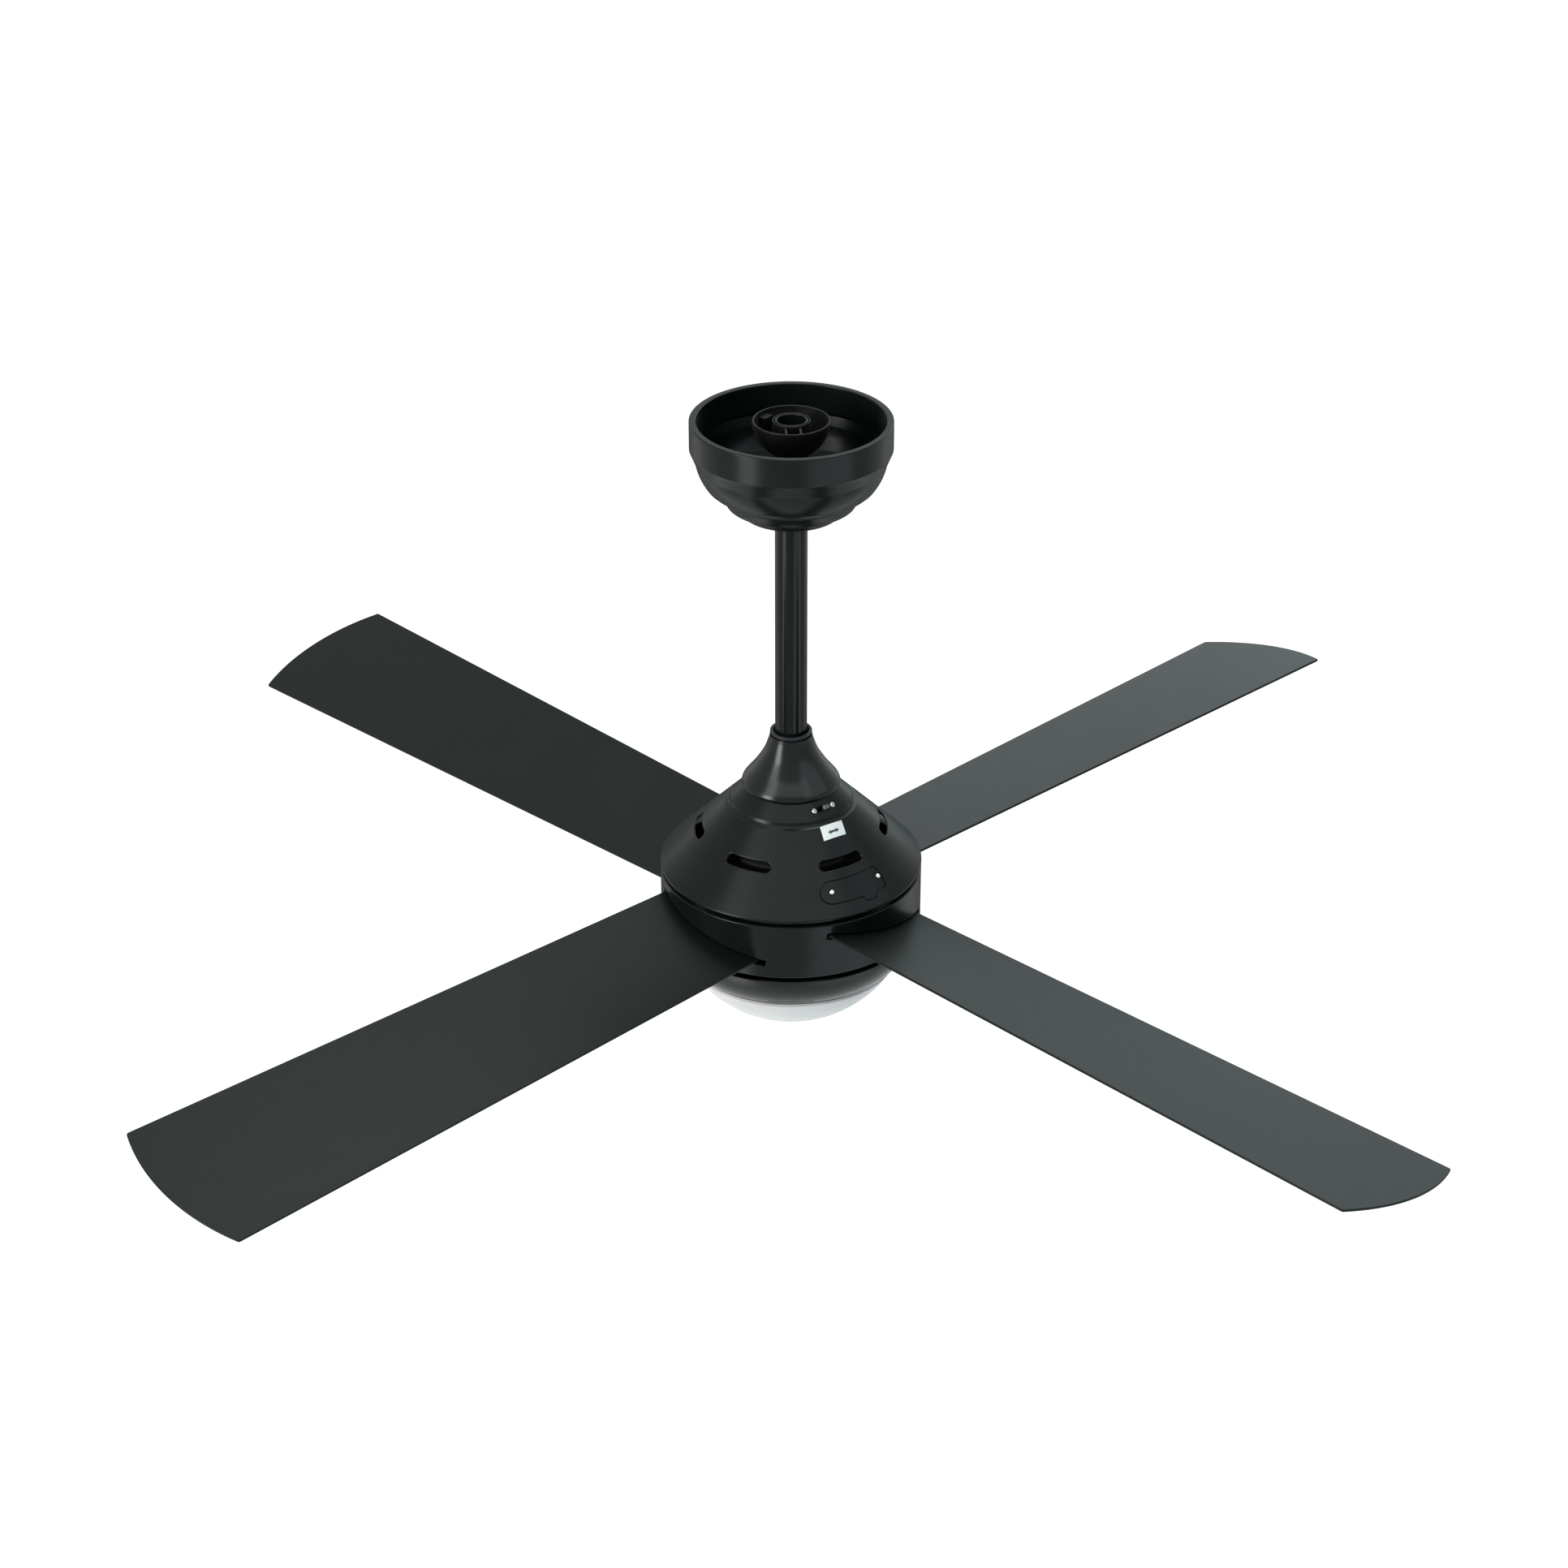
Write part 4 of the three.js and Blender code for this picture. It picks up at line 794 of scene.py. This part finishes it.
def hatch_screws():
    return [cone_frame(HATCH_AZ + side * HATCH_HALF_SPAN, HATCH_SCREW_R) for side in (-1, 1)]


def switch_screws():
    shift = [Matrix.Translation((side * SWITCH_SCREW_HALF, 0, 0)) for side in (-1, 1)]
    return [cone_frame(SWITCH_AZ, SWITCH_R) @ move for move in shift]


def housing():
    """The fixed cone over the drum, with its groove, vents, access opening and switch slot."""
    def cone(radius, *more):
        return (radius, CONE_APEX - radius, *more)

    def sunk(radius, depth, *more):
        return (radius - depth / ROOT2, CONE_APEX - radius - depth / ROOT2, *more)

    sink = COVER_WALL * ROOT2
    crown_under = CROWN_Z - COVER_WALL
    foot = COVER_FOOT + COVER_LIFT
    shell = revolve("motor_housing", rounded([
        (12, CROWN_Z, 0.4), cone(CROWN_R, 1.5), cone(47.6, 1.2), sunk(49.2, 0.9, 1), sunk(50.6, 0.9, 1),
        cone(52, 1.2), cone(60), cone(68), cone(80), cone(90), cone(COVER_R - 0.05, 3),
        (COVER_R, foot, 0.5), (COVER_R - 2, foot, 0.3), (COVER_R - 2, CONE_APEX - COVER_R + 2 - sink, 1),
        (CROWN_R - sink + COVER_WALL, crown_under, 1), (12, crown_under, 0.4),
    ]), 2 * FINE)
    end = VENT_HALF_WIDTH * ROOT2
    band = (VENT_R - VENT_HALF_WIDTH, VENT_R + VENT_HALF_WIDTH)
    vents = []
    for k in range(VENT_COUNT):
        azimuth = VENT_FIRST + 2 * pi * k / VENT_COUNT
        outline = bent_slot(azimuth, VENT_HALF_SPAN - end / VENT_R, band, (end, end))
        vents.append(cone_block("vent", outline, through(VENT_LIP, VENT_UNDERCUT)))
    recess = cone_block("recess", hatch(HATCH_SEAM), [(CUT_OVER, 0), (-HATCH_SINK, 0)])
    opening = cone_block("opening", hatch(-HATCH_LEDGE), [(0, 0), (-CUT_UNDER, 0)])
    slot = cone_block("slot", flat_patch(SWITCH_AZ, SWITCH_R, SLOT_HALF, 0.4), through(0.4))
    holes = [place(rod("hole", SMALL_HOLE_R, -5, 2), spot) for spot in hatch_screws() + switch_screws()]
    mounts = [polar(MOUNT_SCREW_R, azimuth) for azimuth in THIRDS]
    holes += drill(MOUNT_HOLE_R, crown_under - 2, CROWN_Z + 2, mounts)
    combine(shell, [*vents, recess, opening, slot, *holes])
    dress(shell, "root", "black_paint", PAINT, "top_cover")


def access_plate():
    """A thin plate in the cone's recess, with a sunk seat for each screw."""
    plate = cone_block("access_cover", hatch(), sheet(HATCH_THICK, 0.15))
    seats = [place(rod("seat", 2.6, -0.45, 2), spot) for spot in hatch_screws()]
    combine(plate, seats + [place(rod("hole", SMALL_HOLE_R, -3, 2), spot) for spot in hatch_screws()])
    dress(plate, "root", "black_paint", PAINT, "access_plate")


def label():
    """A small paper label; its arrow stands for the two ways that the fan can turn."""
    half = (LABEL_SIZE[0] / 2, LABEL_SIZE[1] / 2)
    outline = flat_patch(LABEL_AZ, LABEL_R, half, 0.3, LABEL_TURN, LABEL_LEAN)
    paper_top = 0.13
    paper = cone_block("label", outline, sheet(0.1, 0.04, paper_top))
    dress(paper, "root", "white_plastic", PAPER)
    ink_top, ink_foot = paper_top + 0.04, paper_top + 0.002
    length, head, barb, line, drop = 5.1, 2.7, 1.8, 0.85, 0.5
    side = [(-length, 0), (head - length, barb), (head - length, line), (0, line)]
    stations = side + [(-x, y) for x, y in reversed(side[:-1])]

    def rungs(grow):
        return [(unrolled(LABEL_AZ, LABEL_R, x, y - drop), unrolled(LABEL_AZ, LABEL_R, x, -y - drop))
                for x, y in stations]

    arrow = cone_block("label_arrow", rungs, [(ink_top, 0), (ink_foot, 0)])
    dress(arrow, "root", "black_nylon", INK)


def pan_screw(name, radius, length, spot, node, surface):
    """A domed head with a cross recess on a plain shank, its seat at the spot's origin."""
    height, shank = 1.4, 1.1
    side = 0.35 * height               # of the head, below its dome
    dome = arc((0, side), radius, 0, pi / 2, 8, 0.65 * height)
    profile = [(0, -length), (shank, -length), (shank, 0), (radius, 0), *dome[:-1], (0, height)]
    screw = revolve(name, profile, SCREW_STEPS)
    wide, reach = 0.16 * radius, 0.58 * radius
    arms = []
    for turn in (0.4, 0.4 + pi / 2):
        level = [(a * reach, b * wide) for a, b in CORNERS]
        deep = [(x * 0.45, y * 0.7, height * 0.25) for x, y in level]
        tall, above = ([(x, y, z) for x, y in level] for z in (height, height * 1.5))
        arms.append(place(loft("arm", [deep, tall, above]), Matrix.Rotation(turn, 4, "Z")))
    combine(screw, [combine(arms[0], arms[1:], "UNION")])
    place(screw, spot)
    dress(screw, "root", "nickel", surface, node)


def small_screws():
    for i, spot in enumerate(hatch_screws()):
        seat = spot @ Matrix.Translation((0, 0, -0.4))
        pan_screw(f"access_plate_screw_{i + 1}", 1.8, 4, seat, f"access_screw_{i + 1}", NICKEL)
    for i, spot in enumerate(switch_screws()):
        seat = spot @ Matrix.Translation((0, 0, -0.1))
        pan_screw(f"reverse_switch_screw_{i + 1}", 2.1, 6, seat, f"switch_screw_{i + 1}", SHADE_DARKENED_NICKEL)


def knob():
    """The switch's slider: a cap with grip ridges on a tongue that reaches into the switch."""
    wide, deep, top, foot = 2.6, 1.7, 1.0, -3.2
    ridges = [(wide - 0.25, top - 0.4)]
    for k in range(4):
        x = between(wide - 0.55, 0.55 - wide, k / 3)
        ridges += [(x + 0.32, top - 0.3), (x + 0.16, top), (x - 0.16, top), (x - 0.32, top - 0.3)]
    side = [(-wide, foot), (wide, foot), (wide, top - 0.7), *ridges,
            (-wide + 0.25, top - 0.4), (-wide, top - 0.7)]
    cap = loft("switch_slider", [[(x, y, z) for x, z in side] for y in (-deep, deep)])
    combine(cap, [block("tongue", (3, 2, 4), (0, 0, -4.4))], "UNION")
    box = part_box("switch_knob")
    rest = (box[0] + box[1]) / 2 / MM
    spot = cone_frame(SWITCH_AZ, SWITCH_R)
    along = spot.inverted() @ rest
    place(cap, spot @ Matrix.Translation((along.x, 0, 0)))
    dress(cap, "knob", "grey_plastic", GREY_PLASTIC, "switch_knob")


# ---------------------------------------------------------------- drum and blades


def blade_frame(i):
    """X out along the blade, Y square to it, Z out of its top face."""
    turn = Matrix.Rotation(BLADE_PHASE + 2 * pi * i / BLADE_COUNT, 4, "Z")
    pitch = Matrix.Rotation(-BLADE_PITCH, 4, "X")
    return turn @ Matrix.Translation((0, 0, BLADE_TOP)) @ pitch


def drum():
    """A rotating band with its edges turned in, a slot for each blade and ledges riveted to the motor."""
    inner = DRUM_R - DRUM_WALL
    mouth, sill = 97.5, 90             # the edges turn in to these radii, above and below
    rim = DRUM_TOP - DRUM_DROP
    band = revolve("drum_band", rounded([
        (sill, DRUM_FOOT, 0.5), (DRUM_R, DRUM_FOOT, 1.1), (DRUM_R, rim, 1.1), (mouth, rim, 0.5),
        (mouth, rim - DRUM_WALL, 0.5), (inner, rim - DRUM_WALL, 0.6),
        (inner, DRUM_FOOT + DRUM_WALL, 0.6), (sill, DRUM_FOOT + DRUM_WALL, 0.5),
    ]), 2 * FINE)
    half_long, half_tall, middle = 55.7, 2.8, 4.3
    corners = [(middle + a * half_long, b * half_tall - BLADE_THICK / 2, 0.6) for a, b in CORNERS]
    slots = []
    for i in range(BLADE_COUNT):
        slot = loft("slot", [[(x, y, z) for y, z in rounded(corners)] for x in (70, 120)])
        slots.append(place(slot, blade_frame(i)))
    combine(band, slots)
    arm_floor, arm_top, rivet_r = -387.5, -384, 94
    rivet_foot, rivet_seat = arm_floor - 1, arm_top + GAP
    rivet = [(0, rivet_foot), (2.2, rivet_foot), (2.2, rivet_seat), (3.6, rivet_seat),
             (3.4, arm_top + 1.2), (2, arm_top + 1.8), (0, arm_top + 1.8)]
    fittings = []
    for i in range(BLADE_COUNT):
        azimuth = BLADE_PHASE + 2 * pi * (i + 0.5) / BLADE_COUNT
        ledge = block("ledge", (13, 18, 3), (96.4, 0, arm_floor - GAP - 1.5))
        head = place(revolve("rivet", rivet, COARSE), Matrix.Translation((rivet_r, 0, 0)))
        fittings += [place(part, Matrix.Rotation(azimuth, 4, "Z")) for part in (ledge, head)]
    combine(band, fittings, "UNION")
    dress(band, "rotor", "black_paint", PAINT, "drum")


def blade_outline():
    """A clipped root, straight sides that spread a little, and a broad arc at the tip."""
    half_width, spread, clip, neck, corner = 53.17, 0.02712, 14, 36, 6

    def half_at(radius):
        return half_width + spread * (radius - 150)

    tip_half = half_at(BLADE_CORNER_R)
    turn = asin(tip_half / TIP_ARC_R)
    tip = arc((TIP_ARC_CENTRE, 0), TIP_ARC_R, -turn, turn, 40)[1:-1]
    side = half_at(BLADE_ROOT_R + clip)
    straight = [(BLADE_ROOT_R + clip, side, 3), (BLADE_ROOT_R, neck, 3)]
    corners = [(x, -y, r) for x, y, r in reversed(straight)]
    corners += [(BLADE_CORNER_R, -tip_half, corner), *tip, (BLADE_CORNER_R, tip_half, corner), *straight]
    return [(x, y + BLADE_SHIFT) for x, y in rounded(corners, 6)]


def blades():
    """Flat pressed sheets with broken edges."""
    outline = blade_outline()
    edge = 0.6
    turns = [pi / 2 * k / 4 for k in range(5)]
    top = [(edge * (1 - sin(a)), -edge * (1 - cos(a))) for a in turns]
    levels = top + [(shy, -BLADE_THICK - z) for shy, z in reversed(top)]
    rings = [[(x, y, z) for x, y in inset(outline, shy)] for shy, z in levels]
    for i in range(BLADE_COUNT):
        blade = loft(f"blade_sheet_{i + 1}", rings)
        spots = [(x, y / cos(BLADE_PITCH), 0) for x, y in BLADE_SCREWS]
        combine(blade, drill(BLADE_HOLE_R, -6, 4, spots))
        place(blade, blade_frame(i))
        dress(blade, "rotor", "black_paint", BLADE_PAINT, f"blade_{i + 1}")


# ---------------------------------------------------------------- light kit and motor cap


def bayonet(inner, outer, bottom, top, i):
    """A short arc of a ring, one of three alike."""
    middle = (i + 0.25) * 2 * pi / LUG_COUNT
    span = radians(11)
    edge = [polar(outer, between(middle - span, middle + span, k / 8))[:2] for k in range(9)]
    edge += [polar(inner, between(middle + span, middle - span, k / 8))[:2] for k in range(9)]
    return prism("lug", edge, bottom, top)


def light_ring():
    """The pan under the drum: a flat floor and a side that curls in to its mouth."""
    centre, wide, tall, wall, sweep = 70, 30, 32.4, 1.4, radians(60)
    floor_z = RING_TOP - 1.5
    outside = arc((centre, RING_TOP - 0.8), wide, 0, -sweep, 28, tall)
    inside = arc((centre, floor_z), wide - wall, -sweep, 0, 24, tall - wall)
    ring = revolve("light_pan", rounded([
        (24, RING_TOP, 0.4), (centre + wide - 0.8, RING_TOP, 0.6), *outside[:-1], (*outside[-1], 0.4),
        (*inside[0], 0.4), *inside[1:], (24, floor_z, 0.4),
    ]), FINE)
    spots = [polar(LIGHT_SCREW_R, azimuth) for azimuth in THIRDS]
    combine(ring, drill(2, floor_z - 3, RING_TOP + 3, spots))
    combine(ring, [bayonet(83.2, 92.2, -452.2, -450.6, i) for i in range(LUG_COUNT)], "UNION")
    dress(ring, "root", "black_paint", RING_PAINT, "light_ring")


def diffuser():
    """An opal bowl with a straight neck and three lugs that rest on the ring's tabs."""
    neck_top = high("diffuser").z
    edge_z = -458.4
    inner_r = DOME_R - DOME_WALL
    neck_bore = NECK_R - 1.8
    bowl = revolve("opal_bowl", [
        (neck_bore, neck_top), (NECK_R, neck_top), (NECK_R, edge_z), (84.4, edge_z), (85, edge_z - 0.3),
        *arc((0, DOME_CENTRE), DOME_R, -acos(85.5 / DOME_R), -pi / 2, 40)[:-1], (0, DOME_FOOT),
        (0, DOME_FOOT + DOME_WALL),
        *arc((0, DOME_CENTRE), inner_r, -pi / 2, -acos(neck_bore / inner_r), 32)[1:],
    ], FINE)
    lugs = [bayonet(NECK_R - 1, 86.4, -450.3, -448.7, i) for i in range(LUG_COUNT)]
    combine(bowl, lugs, "UNION")
    dress(bowl, "light_bowl", "opal", OPAL, "diffuser")


def motor_cap():
    """The upper half of the motor's casting, which shows through the vents. Its near-black colour is
    painted shade.
    """
    rim = low("motor_upper_shell").z
    top = high("motor_upper_shell").z
    flange = rim + 2.8
    cap = revolve("motor_cap", rounded([
        (10.5, top, 0.4), (21, top, 1), (22.5, -340, 1), (56, -344, 4), (62, -350, 4), (62, flange, 0.6),
        (68, flange, 0.5), (68, rim, 0.4), (59.6, rim, 0.3), (59.6, -350.6, 2), (54.5, -346.6, 2),
        (20.6, -342.8, 0.5), (20.6, -348.3, 0.3), (17.7, -348.3, 0.3), (17.7, -338.3, 0.3),
        (10.5, -338.3, 0.3),
    ]), FINE)
    spots = [polar(MOTOR_SCREW_R, radians(20) + 2 * pi * i / 3) for i in range(3)]
    combine(cap, drill(1.7, rim - 2, flange + 2, spots))
    dress(cap, "rotor", "motor_casting", SHADE_PAINTED_CASTING, "motor_upper_shell")


# ---------------------------------------------------------------- pieces kept from the part

SLOT_SURFACES = {
    "black_paint": PAINT, "black_nylon": BLACK_NYLON, "grey_rubber": COLLAR_RUBBER, "zinc_steel": ZINC,
    "nickel": NICKEL, "lamination": LAMINATION, "copper": COPPER, "motor_casting": SHADE_PAINTED_CASTING,
    "cast_aluminium": ALUMINIUM, "grey_plastic": GREY_PLASTIC, "opal": OPAL, "led_board": LED_BOARD,
    "white_plastic": WHITE_PLASTIC,
}
PACKED_SHARP, PACKED_BEVEL = 32, 50    # least bends of a sharp edge and of a broken one
FINE_EDGES = {                         # width of the broken edge on the pieces kept as packed
    "ball_pin": 0.5, "clevis_pin": 0.3, "stator_bracket": 0.3, "light_plate": 0.3, "shaft_nut": 0.5,
    "led_driver": 1.2, "run_capacitor": 1.0, "reverse_switch": 0.3, "led_board": 0.2, "motor_shaft": 0.3,
}


def dress_cad_nodes():
    """Shade every node smooth and give it its slot's surface."""
    slots = {part["node"]: part["material_slot"] for part in frame["record"]["subparts"]}
    for name, node in frame["nodes"].items():
        node.data.materials.clear()
        node.data.materials.append(SLOT_SURFACES[slots[name]])
        node.data.shade_smooth()
        node.data.set_sharp_from_angle(angle=radians(PACKED_SHARP))
        if name in FINE_EDGES:
            edge = node.modifiers.new("broken edge", "BEVEL")
            edge.width = FINE_EDGES[name] * MM
            edge.segments = 2
            edge.limit_method = "ANGLE"
            edge.angle_limit = radians(PACKED_BEVEL)


# ---------------------------------------------------------------- stage and light


def seen(nodes):
    """1 for rays that should meet a white surround: camera, glossy and transmission rays."""
    path = nodes.add("ShaderNodeLightPath")
    value = path.outputs["Is Camera Ray"]
    for other in ("Is Glossy Ray", "Is Transmission Ray"):
        value = nodes.maths("MAXIMUM", value, path.outputs[other])
    return value


def world():
    surround = bpy.data.worlds.new("studio")
    surround.use_nodes = True
    surround.node_tree.nodes.clear()
    nodes = Nodes(surround.node_tree)
    white = nodes.add("ShaderNodeBackground", Color=WHITE, Strength=seen(nodes))
    output = nodes.add("ShaderNodeOutputWorld")
    nodes.put(output.inputs["Surface"], white.outputs[0])
    bpy.context.scene.world = surround


FLOOR_Z = -2400
FLOOR_HALF = 30000


def floor():
    """A pale floor a room's height below the ceiling."""
    corners = [(a * FLOOR_HALF, b * FLOOR_HALF, FLOOR_Z) for a, b in CORNERS]
    piece = mesh_piece("floor", corners, [(0, 1, 2, 3)])
    pale = bpy.data.materials.new("pale floor")
    pale.use_nodes = True
    nodes = Nodes(pale.node_tree)
    shader = pale.node_tree.nodes["Principled BSDF"]
    shader.inputs["Base Color"].default_value = (0.8, 0.8, 0.8, 1)
    shader.inputs["Roughness"].default_value = 0.9
    shader.inputs["Emission Color"].default_value = WHITE
    nodes.put(shader.inputs["Emission Strength"], seen(nodes))
    piece.data.materials.append(pale)


LAMP_TARGET = Vector((0, 0, -300))
LAMP_DISTANCE = 2800
LAMPS = {                              # azimuth, elevation, size, watts, colour
    "strip left": (-49, -26, (1000, 2000), 38, (0.98, 1, 0.98)),
    "left mid": (-54, 12, (1000, 1500), 82.5, (0.98, 1, 0.97)),
    "left high": (-58, 38, (1000, 900), 18, (0.98, 1, 0.98)),
    "right low": (45, -24, (2600, 1700), 31, (0.8, 0.92, 1)),
    "right high": (66, 34, (2800, 1200), 15, (0.76, 0.9, 1)),
    "front top": (0, 60, (4200, 1400), 38.2, (0.91, 1, 0.97)),
    "back top": (170, 66, (1300, 800), 31.5, (0.89, 1, 0.95)),
    "back high": (170, 49, (1300, 800), 3, (0.85, 1, 0.93)),
    "back right": (146, 28, (1200, 1300), 11, (0.7, 0.98, 1)),
    "back edge": (160, -16, (900, 1700), 7.5, (0.8, 0.98, 1)),
    "back low": (172, 4, (1200, 1300), 3.3, (0.7, 0.98, 1)),
}


def lamps():
    """Rectangular lamps that face the fan. Azimuths turn from the camera's side to the right."""
    for name, (azimuth, elevation, size, watts, colour) in LAMPS.items():
        data = bpy.data.lights.new(name, "AREA")
        data.shape = "RECTANGLE"
        data.size, data.size_y = (side * MM for side in size)
        data.energy = watts
        data.color = colour
        lamp = bpy.data.objects.new(name, data)
        reach = LAMP_DISTANCE * cos(radians(elevation))
        shift = polar(reach, radians(azimuth - 90), LAMP_DISTANCE * sin(radians(elevation)))
        lamp.location = (LAMP_TARGET + Vector(shift)) * MM
        lamp.rotation_euler = (LAMP_TARGET * MM - lamp.location).to_track_quat("-Z", "Y").to_euler()
        lamp.visible_camera = False
        bpy.context.scene.collection.objects.link(lamp)


# ---------------------------------------------------------------- scene

for build in (dress_cad_nodes, canopy, hanger_ball, downrod, trumpet, neck_collar, coupling, housing,
              access_plate, label, small_screws, knob, drum, blades, light_ring, diffuser, motor_cap,
              floor, world, lamps):
    build()
bpy.context.scene.view_settings.view_transform = "Standard"
